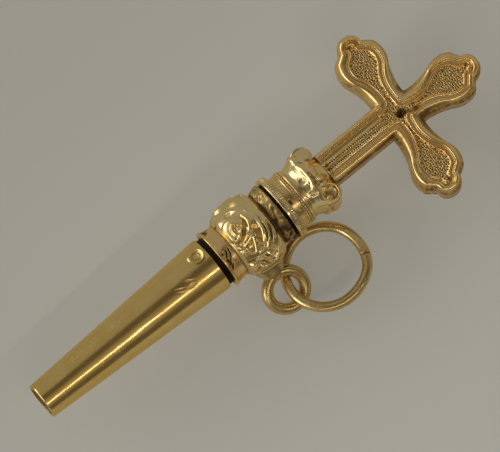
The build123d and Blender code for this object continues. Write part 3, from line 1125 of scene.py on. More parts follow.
    def build_collars(self, shop: Workshop) -> None:
        """Makes the lower collar with its bright lip, and the flared neck collar.

        Args:
            shop: Where pieces are dressed.
        """
        lower = (
            (self.start, self.collar_radius, 0.06),
            (self.start + 0.16, self.collar_radius, 0.05),
            (self.start + 0.24, self.collar_radius - 0.08, 0.04),
            (self.start + 0.75, self.collar_radius - 0.2, 0.3),
            (self.bulge_start, self.collar_foot, 0.04),
            (self.bulge_start, self.inner_radius, 0),
            (self.start, self.inner_radius, 0),
        )
        neck = (
            (self.bulge_end, self.collar_foot, 0.04),
            (self.end - 0.35, self.neck_radius - 0.1, 0.2),
            (self.end - 0.14, self.neck_radius, 0.05),
            (self.end, self.neck_radius, 0.05),
            (self.end, self.inner_radius, 0),
            (self.bulge_end, self.inner_radius, 0),
        )
        outline = split_runs(round_corners(lower), self.collar_step)
        piece = turned("lower_collar_band", outline, self.collar_segments, self.lower_skin, self.skin_above)
        shop.place(piece, "swivel", "gold_collar", "gold_worn", "lower_collar")
        outline = split_runs(round_corners(neck), self.collar_step)
        piece = turned("neck_collar_band", outline, self.collar_segments, self.neck_skin, self.skin_above)
        shop.place(piece, "swivel", "gold_tarnished", "gold_dark", "neck_collar")
        shop.dress_solids("inner_brass", "swivel_bush")

    def build_eye(self, shop: Workshop) -> None:
        """Makes the round eye and the saddle that carries it, which is soldered round its wire.

        Args:
            shop: Where pieces are dressed.
        """
        eye = Loop(self.eye_centre, self.eye_normal, (1.0, 0.0, 0.0), self.eye_radius, self.eye_wire)
        shop.place(eye.build("eye_loop"), "swivel", "gold_loop", "gold_polished", "eye")
        c = math.cos(math.radians(EYE_TURN))
        s = math.sin(math.radians(EYE_TURN))
        reach, half_long, half_wide = np.array(self.saddle).T[:, :, None]
        turns = np.linspace(0, 2 * math.pi, self.saddle_points, endpoint=False)
        along = half_long * np.cos(turns)
        across = half_wide * np.sin(turns)
        out = reach + self.saddle_bow * (reach - self.saddle[0][0]) / 1.7 * along**2
        sides = [self.eye_centre[0] + along, -c * out - s * across, -s * out + c * across]
        points = np.stack(sides, -1).reshape(-1, 3)
        last = len(points) - self.saddle_points
        fan = np.arange(1, self.saddle_points - 1)
        foot = np.stack([0 * fan, fan, fan + 1, fan + 1], -1)
        crown = last + np.stack([0 * fan, fan + 1, fan, fan], -1)
        faces = np.vstack([grid_faces(len(self.saddle), self.saddle_points), foot, crown])
        piece = mesh_object("eye_saddle_web", points, faces)
        shop.place(piece, "swivel", "gold_loop", "gold_polished", "eye_saddle")

    def build(self, shop: Workshop) -> None:
        """Makes every piece of the swivel.

        Args:
            shop: Where pieces are dressed.
        """
        self.build_bulge(shop)
        self.build_collars(shop)
        self.build_eye(shop)


# Loops of wire


@dataclass(frozen=True)
class Loop:
    """A closed ring of round wire, slightly uneven, with a soldered seam where a turn is given."""

    centre: tuple[float, float, float]
    normal: tuple[float, float, float]
    start: tuple[float, float, float]
    radius: float
    wire: float
    uneven: float = 0.0
    seam_turn: float | None = None
    around: int = 160
    across: int = 36

    def build(self, name: str) -> bpy.types.Object:
        """Makes the ring.

        Args:
            name: The piece's name.

        Returns:
            The new object.
        """
        n = np.array(self.normal) / np.linalg.norm(self.normal)
        a = np.array(self.start) - n * (n @ np.array(self.start))
        a = a / np.linalg.norm(a)
        t = np.linspace(0, 2 * math.pi, self.around, endpoint=False)[:, None]
        s = np.linspace(0, 2 * math.pi, self.across, endpoint=False)
        free = 0.5 - 0.5 * np.cos(t)
        radius = self.radius + self.uneven * free * (np.sin(3 * t + 0.6) + 0.6 * np.sin(5 * t + 2.0))
        wire = self.wire * (1 + 0.35 * self.uneven * free * np.sin(4 * t + 1.1))
        dark = np.zeros((self.around, self.across))
        if self.seam_turn is not None:
            gap = ((t - math.radians(self.seam_turn) + math.pi) % (2 * math.pi) - math.pi) * radius
            seam = hump(gap, 0, 0.07)
            wire = wire + 0.02 * hump(gap, 0, 0.3) - 0.05 * seam
            dark = dark + 0.8 * seam
        out = (radius + wire * np.cos(s))[..., None]
        outward = (a * np.cos(t) + np.cross(n, a) * np.sin(t))[:, None, :]
        points = np.array(self.centre) + outward * out + n * (wire * np.sin(s))[..., None]
        faces = grid_faces(self.around, self.across, True)
        return mesh_object(name, points.reshape(-1, 3), faces, dark.reshape(-1))


@dataclass(frozen=True)
class ChainRing:
    """The jump ring that hangs in the eye."""

    centre: tuple[float, float, float] = (25.07, -5.5609, -2.8382)
    normal: tuple[float, float, float] = (-0.079, 0.152014, 0.985216)
    radius: float = 3.38
    wire: float = 0.44
    uneven: float = 0.05
    seam_turn: float = 155.0

    def build(self, shop: Workshop) -> None:
        """Makes the ring, with its soldered seam away from the eye.

        Args:
            shop: Where pieces are dressed.
        """
        start = (-1.0, 0.0, 0.0)
        ring = Loop(self.centre, self.normal, start, self.radius, self.wire, self.uneven, self.seam_turn)
        shop.place(ring.build("jump_ring_wire"), "ring", "gold_loop", "gold_worn", "jump_ring")


# Head of the key


@dataclass(frozen=True)
class Head:
    """The bright disc, the milled wire, the sleeve and its three wires."""

    disc_start: float = 24.75
    sleeve_start: float = 25.0
    milled_end: float = 25.42
    knop_start: float = 26.73
    spindle_hole: float = 0.92
    disc_radius: float = 2.95
    milled_radius: float = 2.92
    sleeve_radius: float = 2.4
    milled_inner: float = 2.38
    wire_radius: float = 0.1
    wire_inner: float = 2.34
    wire_places: tuple[float, float] = (26.15, 26.57)
    bead_place: float = 26.36
    bead_half: float = 0.1
    bead_inner: float = 2.36
    bead_radius: float = 2.5
    bead_round: float = 0.09
    solder_gap: float = 25.6
    teeth: int = 66
    tooth_depth: float = 0.075
    beads: int = 52
    points_each: int = 10

    def milled_skin(self, x: Array, turn: Array) -> tuple[Array, Array]:
        """Gives the slanting notches of the milled wire.

        Args:
            x: Places along the key.
            turn: Turns round it.

        Returns:
            The height of the notches and how dark they are, at each point.
        """
        phase = turn * self.teeth / 360 + (x - self.sleeve_start) * 1.4
        deep = np.clip(1 - np.abs((phase % 1) - 0.5) * 4, 0, 1) ** 0.8
        # Painted shade in the notches.
        return -self.tooth_depth * deep, 0.4 * deep

    def bead_skin(self, x: Array, turn: Array) -> tuple[Array, Array]:
        """Gives the small beads between the plain wires: their height and painted shade in the gaps."""
        away = np.abs((turn * self.beads / 360) % 1 - 0.5)
        return -0.09 * np.clip(away * 2 - 0.35, 0, 1), np.clip(away * 2.4 - 0.5, 0, 1) * 0.7

    def sleeve_skin(self, x: Array, turn: Array) -> tuple[Array, Array]:
        """Gives the sleeve's solder gap, its faint turning lines, and painted shade beside its wires and in
        the gap.

        Args:
            x: Places along the key.
            turn: Turns round it.

        Returns:
            The height of the marks and how dark they are, at each point.
        """
        in_gap = np.abs(wrap_turn(turn, -12)) < 6
        height = -0.1 * hump(x, self.solder_gap, 0.07) * in_gap + 0.006 * np.sin(x * 60)
        near = hump(x, self.milled_end, 0.1) + hump(x, self.bead_place, 0.16)
        return height, 0.55 * near + hump(x, self.solder_gap, 0.08) * in_gap

    def build_wire(self, place: float, name: str, node: str, shop: Workshop) -> None:
        """Makes one plain half-round wire.

        Args:
            place: Its place along the key.
            name: The piece's name.
            node: The solid that it replaces.
            shop: Where pieces are dressed.
        """
        turns = np.linspace(0, math.pi, 9)
        x = place - self.wire_radius * np.cos(turns)
        back = [[place + self.wire_radius, self.wire_inner], [place - self.wire_radius, self.wire_inner]]
        outline = np.vstack([np.stack([x, self.sleeve_radius + self.wire_radius * np.sin(turns)], -1), back])
        shop.place(turned(name, outline, 200), "key", "gold_polished", "gold_polished", node)

    def build(self, shop: Workshop) -> None:
        """Makes every piece of the head.

        Args:
            shop: Where pieces are dressed.
        """
        disc = band_outline(
            self.disc_start,
            self.sleeve_start,
            self.spindle_hole,
            (self.disc_radius, self.disc_radius),
            (0.09, 0.08),
        )
        piece = turned("head_lip", split_runs(disc, 0.4), 240)
        shop.place(piece, "key", "gold_polished", "gold_polished", "head_disc")
        milled = band_outline(
            self.sleeve_start,
            self.milled_end,
            self.milled_inner,
            (self.milled_radius, self.milled_radius - 0.02),
            (0.05, 0.1),
        )
        count = self.teeth * self.points_each
        piece = turned("milled_rim", split_runs(milled, 0.07), count, self.milled_skin, 2.7)
        shop.place(piece, "key", "gold_polished", "gold_polished", "milled_wire")
        sleeve = band_outline(
            self.sleeve_start,
            self.knop_start,
            self.spindle_hole,
            (self.sleeve_radius, self.sleeve_radius),
            (0, 0.02),
        )
        piece = turned("sleeve_band", split_runs(sleeve, 0.05), 240, self.sleeve_skin, 2.3)
        shop.place(piece, "key", "gold_collar", "gold_worn", "head_sleeve")
        self.build_wire(self.wire_places[0], "lower_plain_wire", "lower_band_wire", shop)
        self.build_wire(self.wire_places[1], "upper_plain_wire", "upper_band_wire", shop)
        bead = band_outline(
            self.bead_place - self.bead_half,
            self.bead_place + self.bead_half,
            self.bead_inner,
            (self.bead_radius, self.bead_radius),
            (self.bead_round, self.bead_round),
        )
        piece = turned("beaded_wire", bead, self.beads * self.points_each, self.bead_skin, 2.42)
        shop.place(piece, "key", "gold_collar", "gold_dark", "bead_wire")


# Knop

KNOP_FORMS = Relief(
    (
        Boss((1.30, 0.95), (0.75, 1.60), 0.15, 6, 1.0),
        Stroke(((0.25, -0.95), (0.60, -1.15), (1.00, -1.30)), 0.34, -0.07),
        Boss((1.78, 1.55), (0.60, 0.75), 0.22, 0, 1.2),
        Stroke(((0.38, 0.50), (0.60, 0.10), (0.66, -0.25)), 0.42, -0.10),
        Boss((1.55, 2.45), (1.05, 1.05), 0.42, 0, 0.7),
        Boss((1.98, -0.62), (0.50, 0.26), 0.36, -20, 0.8),
        Boss((1.90, -1.12), (0.46, 0.26), 0.26, -15, 0.8),
        Stroke(
            ((1.00, 1.35), (1.12, 0.90), (1.17, 0.40), (1.16, -0.10), (1.05, -0.48), (0.86, -0.74),
             (0.62, -0.98)),
            0.19, 0.13,
        ),
        Stroke(((1.28, 0.75), (1.33, 0.20), (1.36, -0.29), (1.22, -0.70), (0.88, -1.05)), 0.16, -0.20),
        Stroke(((1.08, 1.76), (1.40, 1.52), (1.85, 1.30)), 0.09, -0.06),
        Stroke(((1.15, 1.10), (1.70, 0.90), (2.38, 0.50)), 0.36, 0.08),
        Stroke(((1.40, 0.00), (1.80, -0.30), (2.35, -0.55)), 0.30, 0.10),
        Stroke(((0.78, -1.20), (1.22, -0.92), (1.75, -0.82)), 0.12, -0.15),
        Boss((1.62, 2.05), (0.22, 0.10), -0.14, -35, 0.7),
        Stroke(((-0.02, -0.9), (0.1, -1.6), (0.08, -2.5)), 0.10, 0.05),
    )
)


@dataclass(frozen=True)
class Knop:
    """The capital under the cross: a bell with petals and two scroll rolls whose ends are volutes.

    A volute's hollow, pellet and spiral are each given by a radius or a width and then a depth or a height.
    """

    start: float = 26.73
    end: float = 29.6
    foot_radius: float = 2.3
    top_radius: float = 1.55
    swell_radius: float = 2.6
    spindle_hole: float = 0.92
    pattern_start: float = 26.9
    pattern_radius: float = 2.5
    shares: tuple[tuple[float, float], ...] = (
        (0.0, 0.0), (0.10, 0.22), (0.18, 0.5), (0.30, 0.9), (0.42, 1.05), (0.66, 0.6), (1.0, 0.0)
    )
    roll_place: float = 28.6955
    roll_offset: float = 1.88
    roll_radius: float = 0.92
    roll_half: float = 1.6
    roll_round: float = 0.16
    roll_segments: int = 96
    plate: float = 0.24
    hollow: tuple[float, float] = (0.60, 0.28)
    spiral: tuple[float, float] = (0.13, 0.23)
    spiral_reach: float = 0.78
    spiral_draw: float = 0.10
    pellet: tuple[float, float] = (0.30, 0.32)
    pellet_place: tuple[float, float] = (-0.26, -0.20)
    bell_rows: int = 80
    bell_segments: int = 360
    bell_hole: float = 0.4

    def bell_radius(self, x: Array) -> Array:
        """Gives the bell's radius before its petals.

        Args:
            x: Places along the key.

        Returns:
            The radius at each place.
        """
        points = []
        for along, rise in self.shares:
            base = self.foot_radius + (self.top_radius - self.foot_radius) * along
            points.append((along, base + (self.swell_radius - base) * rise))
        line = curve_through(tuple(points), 12)
        return np.interp((x - self.start) / (self.end - self.start), line[:, 0], line[:, 1])

    def bell_skin(self, x: Array, turn: Array) -> tuple[Array, Array]:
        """Gives the petals, the same in front and behind, with painted shade in their cuts and at the foot.

        Args:
            x: Places along the key.
            turn: Turns round it.

        Returns:
            The height of the petals and how dark they are, at each point.
        """
        v = np.radians(wrap_turn(turn, 0, 180)) * self.pattern_radius
        ends = np.clip((x - self.start) / 0.15, 0, 1) * np.clip((self.end - x) / 0.2, 0, 1)
        height = KNOP_FORMS.heights(x - self.pattern_start, v) * ends
        return height, 0.5 * hump(x, self.start, 0.08) + np.clip(-height / 0.1, 0, 1) * 0.45

    def volute(self, reach: Array, turn: Array) -> Array:
        """Gives the height of a volute's face: a raised spiral round a hollow with a pellet.

        Args:
            reach: Distances from the roll's middle.
            turn: Turns round it, in radians.

        Returns:
            The height at each point.
        """
        line = self.spiral_reach - self.spiral_draw * ((turn - 0.6) % (2 * math.pi)) / (2 * math.pi)
        right = reach * np.cos(turn) - self.pellet_place[0]
        up = reach * np.sin(turn) - self.pellet_place[1]
        plate = self.plate * np.clip(1 - (reach / self.roll_radius) ** 8, 0, 1)
        face = plate - self.hollow[1] * dome(reach, self.hollow[0])
        face = face + self.spiral[1] * hump(reach, line, self.spiral[0])
        return face + self.pellet[1] * dome(np.hypot(right, up), self.pellet[0], 0.7)

    def build_roll(self, hand: Hand, shop: Workshop) -> None:
        """Makes one scroll roll: a volute at one end and a plain slanting dome at the other.

        Args:
            hand: Which of the two rolls it is.
            shop: Where pieces are dressed.
        """
        side = hand.value
        low = self.roll_half - self.roll_round
        face = np.linspace(0.001, self.roll_radius - self.roll_round, 22)
        bend = np.linspace(0, math.pi / 2, 6)[1:]
        edge_r = face[-1] + self.roll_round * np.sin(bend)
        edge_z = low + self.roll_round * np.cos(bend)
        wall_z = np.linspace(low, -low, 18)[1:-1]
        ends = np.full(len(face), self.roll_half)
        wall_r = np.full(len(wall_z), self.roll_radius)
        reach = np.concatenate([face, edge_r, wall_r, edge_r[::-1], face[::-1]])
        height = np.concatenate([ends, edge_z, wall_z, -edge_z[::-1], -ends])
        waist = 1 - 0.06 * np.cos(height / self.roll_half * math.pi / 2) ** 2
        turns = np.linspace(0, 2 * math.pi, self.roll_segments, endpoint=False)
        r, t = np.meshgrid(reach * waist, turns, indexing="ij")
        z = np.repeat(height[:, None], self.roll_segments, axis=1)
        on_face = np.abs(np.abs(z) - self.roll_half) < 1e-6
        plain_end = (side > 0) == (z > 0)
        slanting = dome(r, self.roll_radius) * (0.22 - 0.42 * r * np.sin(t))
        relief = np.where(plain_end, slanting, self.volute(r, -side * t))
        z = np.where(on_face, z + np.sign(z) * relief, z)
        # Painted shade in the volute's hollow, below its plate.
        dark = np.where(on_face & ~plain_end, 0.7 * np.clip((self.plate - relief) / self.plate, 0, 1), 0)
        points = np.stack([self.roll_place + r * np.cos(t), side * self.roll_offset + r * np.sin(t), z], -1)
        faces = grid_faces(len(reach), self.roll_segments)
        word = hand.name.lower()
        piece = mesh_object(f"scroll_roll_{word}", points.reshape(-1, 3), faces, dark.reshape(-1))
        shop.place(piece, "key", "gold_polished", "gold_polished")

    def build(self, shop: Workshop) -> None:
        """Makes the bell and both rolls.

        Args:
            shop: Where pieces are dressed.
        """
        x = np.linspace(self.start, self.end, self.bell_rows)
        inside = [[self.end, self.bell_hole], [self.start, self.spindle_hole]]
        outline = np.vstack([np.stack([x, self.bell_radius(x)], -1), inside])
        piece = turned("knop_bell", outline, self.bell_segments, self.bell_skin, 1.4)
        shop.place(piece, "key", "gold_polished", "gold_polished", "knop")
        for hand in Hand:
            self.build_roll(hand, shop)


# Cross


def arc_through(a: Array, b: Array, c: Array, steps: int) -> Array:
    """Draws the circular arc through three points.

    Args:
        a: Its start.
        b: A point on it.
        c: Its end.
        steps: Pieces of the arc.

    Returns:
        The arc's points without the last.
    """
    m = np.array([b - a, c - a]) * 2
    k = np.array([b @ b - a @ a, c @ c - a @ a])
    centre = np.linalg.solve(m, k)
    start = math.atan2(*(a - centre)[::-1])
    middle = math.atan2(*(b - centre)[::-1])
    end = math.atan2(*(c - centre)[::-1])
    sweep = (end - start) % (2 * math.pi)
    if (middle - start) % (2 * math.pi) > sweep:
        sweep -= 2 * math.pi
    radius = float(np.hypot(*(a - centre)))
    turns = start + sweep * np.linspace(0, 1, steps, endpoint=False)
    return centre + radius * np.stack([np.cos(turns), np.sin(turns)], -1)


def smooth_step(value: Array, place: float, width: float) -> Array:
    """Gives a smooth step from 0 to 1, centred on a place.

    Args:
        value: Where the points are.
        place: Where the step is.
        width: How wide it is.

    Returns:
        The step's height at each point.
    """
    s = np.clip((value - place) / width + 0.5, 0, 1)
    return s * s * (3 - 2 * s)


@dataclass(frozen=True)
class Cross:
    """The hollow cross with three budded arms, struck in two halves, with a stippled ground.

    The outline of a half and that of its rim are given by half an arm's width at its neck, half the stem's
    width, half an arm's greatest width, and how far each tip is drawn in. The pit, the pellets and the holes
    are given by their radius and then their depth or height.
    """

    start: float = 29.6
    crossing: float = 37.2
    arm: float = 7.8
    lean: float = -4.0
    offset: float = -0.3
    thickness: float = 1.45
    wall: float = 0.8
    step: float = 0.036
    edge_sizes: tuple[float, float, float, float] = (1.4, 1.45, 2.17, 0.0)
    rim_sizes: tuple[float, float, float, float] = (0.8, 1.17, 1.73, 0.34)
    arm_shares: tuple[tuple[float, float], ...] = (
        (0.68, 1.0),
        (0.81, 0.87),
        (0.88, 0.5),
        (0.955, 0.4),
        (1.0, 0.0),
    )
    pit_place: tuple[float, float] = (37.33, -0.34)
    dot_spacing: float = 0.2
    pit_sizes: tuple[float, float] = (0.36, 0.5)
    tip_share: float = 0.872
    tip_gap: float = 0.2
    pellet_sizes: tuple[float, float] = (0.28, 0.2)
    hole_sizes: tuple[float, float] = (0.22, 0.14)
    skirt_gap: float = 0.012

    def outline(self, neck: float, stem: float, widest: float, inset: float) -> Array:
        """Draws the closed outline of the cross.

        Args:
            neck: Half the width of an arm where it leaves the crossing.
            stem: Half the width of the stem.
            widest: Half the greatest width of an arm.
            inset: How far each tip is drawn in.

        Returns:
            The outline's points, one row each, counter-clockwise.
        """
        reach = self.arm - inset
        bevel = 0.08 * neck
        corner = neck + bevel
        half = [(corner, neck), (reach * 0.36, neck + (widest - neck) * 0.1), (reach * 0.54, widest * 0.88)]
        half += [(reach * along, widest * out) for along, out in self.arm_shares]
        points = [np.array([[self.start, -stem], [self.crossing - corner, -stem]])]
        for turn in (-90, 0, 90):
            c = math.cos(math.radians(turn + self.lean))
            s = math.sin(math.radians(turn + self.lean))
            base = np.array([self.crossing, self.offset])
            right = [base + (x * c + y * s, x * s - y * c) for x, y in half]
            left = [base + (x * c - y * s, x * s + y * c) for x, y in half]
            at_stem = stem + bevel - self.offset * math.copysign(1, turn)
            if turn == 90:
                left[0] = base + (at_stem * c - neck * s, at_stem * s + neck * c)
            if turn == -90:
                right[0] = base + (at_stem * c + neck * s, at_stem * s - neck * c)
            points.append(arc_through(right[0], right[1], right[2], 14))
            points.append(arc_through(right[2], right[3], right[4], 14))
            points.append(np.array([right[4]]))
            points.append(arc_through(right[5], right[6], right[7], 10))
            points.append(arc_through(left[7], left[6], left[5], 10))
            points.append(np.array([left[5]]))
            points.append(arc_through(left[4], left[3], left[2], 14))
            points.append(arc_through(left[2], left[1], left[0], 14))
            points.append(np.array([left[0]]))
        points.append(np.array([[self.crossing - corner, stem], [self.start, stem]]))
        return split_runs(np.vstack(points), 0.25)

    def signed(self, x: Array, y: Array, line: Array) -> Array:
        """Measures distances to a closed outline, positive inside it.

        Args:
            x: First coordinates of the points.
            y: Second coordinates of the points.
            line: The outline.

        Returns:
            The signed distance of each point.
        """
        closed = np.vstack([line, line[:1]])
        gap, _ = nearest_on_line(x, y, closed)
        inside = np.zeros(x.shape, bool)
        for (ax, ay), (bx, by) in zip(closed, closed[1:]):
            crosses = (ay > y) != (by > y)
            if ay != by:
                inside ^= crosses & (x < ax + (y - ay) * (bx - ax) / (by - ay))
        return np.where(inside, gap, -gap)

    def stipple(self, x: Array, y: Array) -> Array:
        """Gives how deep the nearest punch mark is, from 0 to 1, on a hand-punched ground.

        Args:
            x: First coordinates of the points.
            y: Second coordinates of the points.

        Returns:
            The depth at each point.
        """
        spacing = self.dot_spacing
        i = np.floor(x / spacing)
        j = np.floor(y / spacing)
        depth = np.zeros(x.shape)
        for di in (-1, 0, 1):
            for dj in (-1, 0, 1):
                ci = i + di
                cj = j + dj
                noise_a = np.sin(ci * 127.1 + cj * 311.7) * 43758.5453
                noise_b = np.sin(ci * 269.5 + cj * 183.3) * 23421.6312
                px = (ci + 0.2 + 0.6 * (noise_a - np.floor(noise_a))) * spacing
                py = (cj + 0.2 + 0.6 * (noise_b - np.floor(noise_b))) * spacing
                depth = np.maximum(depth, dome(np.hypot(x - px, y - py), 0.38 * spacing))
        return depth

    def surface(
        self, x: Array, y: Array, edge: Array, rim: Array, low: Array, side: Side
    ) -> tuple[Array, Array]:
        """Gives the height of a half and how dark it is: its struck face, or its side walls outside the rim.

        Args:
            x: First coordinates of the points.
            y: Second coordinates of the points.
            edge: Distances inside the half's outline.
            rim: Distances inside the rim's outline.
            low: How much the edge nearest each point faces the ring's side.
            side: Which half it is.

        Returns:
            The heights and the darkness at each point.
        """
        depth = np.clip(rim, 0, None)
        arm_face, arm_dark = self.arm_face(x, y, depth)
        stem_face, stem_dark = self.stem_face(x, y, depth)
        share = np.clip((self.crossing - 1.25 - x) / 0.25, 0, 1)
        face = self.thickness + arm_face + (stem_face - arm_face) * share
        dark = arm_dark + (stem_dark - arm_dark) * share
        if side is Side.FRONT:
            face, dark = self.centre_pit(x, y, face, dark)
        face, dark = self.tip_pellets(x, y, face, dark)
        wall, wall_shade = self.side_wall(x, y, edge, rim, low)
        clean = hump(rim, 0.01, 0.11)
        return np.where(rim > 0, face, wall), np.where(rim > 0, dark, wall_shade) * (1 - clean) - clean

    def side_wall(self, x: Array, y: Array, edge: Array, rim: Array, low: Array) -> tuple[Array, Array]:
        """Gives the walls between the half's edge and its rim: flat below, rounded over the top, with
        painted shade.

        Args:
            x: First coordinates of the points.
            y: Second coordinates of the points.
            edge: Distances inside the half's outline.
            rim: Distances inside the rim's outline.
            low: How much the edge nearest each point faces the ring's side.

        Returns:
            The heights and the darkness at each point.
        """
        t = np.clip(edge / np.maximum(edge + np.clip(-rim, 0, None), 1e-6), 0, 1)
        bend = 0.65
        steep = 1 / (1 - bend / 2)
        rise = np.where(t < 1 - bend, steep * t, 1 - steep * (1 - t) ** 2 / (2 * bend))
        corner = np.hypot(np.abs(x - self.crossing) - 1.6, np.abs(y - self.offset) - 1.6)
        on_stem = np.clip((self.crossing - 1.2 - x) / 0.4, 0, 1)
        # Painted shade: darker low on the wall, in the corners at the crossing, and on walls that face the
        # ring's side.
        dark = 0.24 + 0.3 * (1 - t) ** 2 + 0.5 * hump(corner, 0, 0.7)
        dark = dark + (0.4 + 0.3 * on_stem) * np.clip(low, 0, 1) * (1 - 0.5 * t)
        return self.wall + (self.thickness - self.wall) * rise, dark

    def centre_pit(self, x: Array, y: Array, face: Array, dark: Array) -> tuple[Array, Array]:
        """Sinks the pit at the crossing and the torn seam that runs from it.

        Args:
            x: First coordinates of the points.
            y: Second coordinates of the points.
            face: The heights without them.
            dark: The darkness without them.

        Returns:
            The heights and the darkness with them.
        """
        pit = np.hypot((x - self.pit_place[0]) * 0.85, y - self.pit_place[1]) + 0.05 * np.sin(9 * x + 5 * y)
        seam = Stroke(((37.3, -0.36), (38.2, -0.66), (39.2, -0.84)), 0.24, 1.0, Taper.END).heights(x, y)
        # Painted shade in the pit and along the torn seam.
        dark = np.maximum(dark, np.clip(1.3 - (pit / 0.42) ** 2, 0, 1))
        face = face - self.pit_sizes[1] * dome(pit, self.pit_sizes[0], 0.7) - 0.14 * seam
        return face, np.maximum(dark, np.clip(1.1 * seam, 0, 1))

    def tip_pellets(self, x: Array, y: Array, face: Array, dark: Array) -> tuple[Array, Array]:
        """Raises a pellet at each arm's tip and sinks a hole beside it.

        Args:
            x: First coordinates of the points.
            y: Second coordinates of the points.
            face: The heights without them.
            dark: The darkness without them.

        Returns:
            The heights and the darkness with them.
        """
        pellet_radius, pellet_height = self.pellet_sizes
        hole_radius, hole_depth = self.hole_sizes
        for turn in (0, 90, -90):
            c = math.cos(math.radians(turn + self.lean))
            s = math.sin(math.radians(turn + self.lean))
            dx = x - self.crossing - self.arm * self.tip_share * c
            dy = y - self.offset - self.arm * self.tip_share * s
            pellet = np.hypot(dx - self.tip_gap * s, dy + self.tip_gap * c)
            hole = np.hypot(dx + self.tip_gap * s, dy - self.tip_gap * c)
            face = face + pellet_height * dome(pellet, pellet_radius, 0.7)
            face = face - hole_depth * dome(hole, hole_radius, 0.7)
            # Painted shade in each hole.
            dark = np.maximum(dark, np.clip(1.2 - (hole / hole_radius) ** 2, 0, 1) * 0.8)
        return face, dark

    def arm_face(self, x: Array, y: Array, depth: Array) -> tuple[Array, Array]:
        """Gives the arms' ornament: rim, smooth channel, thin ridge and punched ground.

        Args:
            x: First coordinates of the points.
            y: Second coordinates of the points.
            depth: Distances in from the rim's outline.

        Returns:
            The height over the rim, and the darkness, at each point.
        """
        sway = depth + 0.05 * np.sin(1.7 * x + 0.9 * y)
        face = 0.03 * hump(depth, 0.08, 0.06) - 0.19 * smooth_step(sway, 0.19, 0.12)
        face = face - 0.04 * hump(sway, 0.36, 0.12) + 0.10 * hump(sway, 0.57, 0.07)
        face = face - 0.06 * smooth_step(sway, 0.64, 0.06)
        ground = np.clip((sway - 0.64) / 0.06, 0, 1)
        dots = self.stipple(x, y) * ground
        # Painted shade in the punched dots and in the channel inside the rim.
        dark = 1.1 * dots + 0.02 * ground + 0.24 * hump(sway, 0.3, 0.1) * (depth > 0.02)
        return face - 0.13 * dots, dark

    def stem_face(self, x: Array, y: Array, depth: Array) -> tuple[Array, Array]:
        """Gives the stem's ornament: rim, two channels parted by a thin line, and two rows of dots.

        Args:
            x: First coordinates of the points.
            y: Second coordinates of the points.
            depth: Distances in from the rim's outline.

        Returns:
            The height over the rim, and the darkness, at each point.
        """
        face = 0.03 * hump(depth, 0.08, 0.06) - 0.13 * smooth_step(depth, 0.17, 0.1)
        face = face + 0.1 * hump(depth, 0.37, 0.05) - 0.05 * smooth_step(depth, 0.42, 0.08)
        aside = np.abs(y + 0.08)
        face = face + 0.06 * (1 - smooth_step(aside, 0.42, 0.1))
        along = (x / 0.2 + 0.2 * np.sin(3 * x)) % 1 - 0.5
        even = np.hypot(along, (aside - 0.2) / 0.2 + 0.06 * np.sin(7 * x))
        beads = np.hypot((x / 0.22) % 1 - 0.5, (depth - 0.37) / 0.2)
        dots = np.clip(1.2 - (even / 0.44) ** 2, 0, 1) + 0.35 * dome(beads, 0.36)
        worn = self.stipple(x, y * 0.8) * (aside < 0.42) * 0.2
        dots = np.clip(np.maximum(dots, worn), 0, 1)
        # Painted shade in the dots and in the channels on either side of the thin line.
        dark = 1.4 * dots + 0.25 * hump(depth, 0.27, 0.06) * (depth > 0.02) + 0.25 * hump(depth, 0.46, 0.04)
        return face - 0.11 * dots, dark

    def build_half(self, side: Side, shop: Workshop) -> None:
        """Makes one struck half: a fine grid trimmed to the outline, with a skirt down to the middle plane.

        Args:
            side: The front or the back half.
            shop: Where pieces are dressed.
        """
        edge_line = self.outline(*self.edge_sizes)
        rim_line = self.outline(*self.rim_sizes)
        low = edge_line.min(0) - 2 * self.step
        high = edge_line.max(0) + 2 * self.step
        x = np.arange(low[0], high[0], self.step)
        y = np.arange(low[1], high[1], self.step)
        x, y = np.meshgrid(x, y, indexing="ij")
        inside = self.signed(x, y, edge_line)
        rows, columns = x.shape
        i, j = np.meshgrid(np.arange(rows - 1), np.arange(columns - 1), indexing="ij")
        first = i * columns + j
        quads = np.stack([first, first + columns, first + columns + 1, first + 1], -1).reshape(-1, 4)
        quads = quads[(inside.reshape(-1)[quads] > -0.3 * self.step).all(axis=1)]
        open_edges: dict[tuple[int, int], None] = {}
        for quad in quads.tolist():
            for a, b in zip(quad, quad[1:] + quad[:1]):
                if (b, a) in open_edges:
                    del open_edges[(b, a)]
                else:
                    open_edges[(a, b)] = None
        border = sorted({a for a, _ in open_edges})
        flat = np.stack([x.reshape(-1), y.reshape(-1)], -1)
        run = np.roll(edge_line, -1, axis=0) - edge_line
        for k in border:
            t = np.clip(((flat[k] - edge_line) * run).sum(1) / (run * run).sum(1), 0, 1)
            near = edge_line + run * t[:, None]
            flat[k] = near[int(np.argmin(((near - flat[k]) ** 2).sum(1)))]
        used = np.unique(quads)
        number = np.full(len(flat), -1)
        number[used] = np.arange(len(used))
        px, py = flat[used].T
        edge = np.clip(self.signed(px, py, edge_line), 0, None)
        # How much each point's edge faces the ring's side; walls facing that way get painted shade.
        facing = np.gradient(inside, self.step, axis=1).reshape(-1)[used]
        height, dark = self.surface(px, py, edge, self.signed(px, py, rim_line), facing, side)
        ring = number[np.array(border)]
        skirt = np.stack([px[ring], py[ring], np.full(len(ring), self.skirt_gap * side.value)], -1)
        below = {int(n): len(used) + k for k, n in enumerate(ring)}
        ends = [(int(number[a]), int(number[b])) for a, b in open_edges]
        faces = np.vstack([number[quads], np.array([[b, a, below[a], below[b]] for a, b in ends])])
        points = np.vstack([np.stack([px, py, height * side.value], -1), skirt])
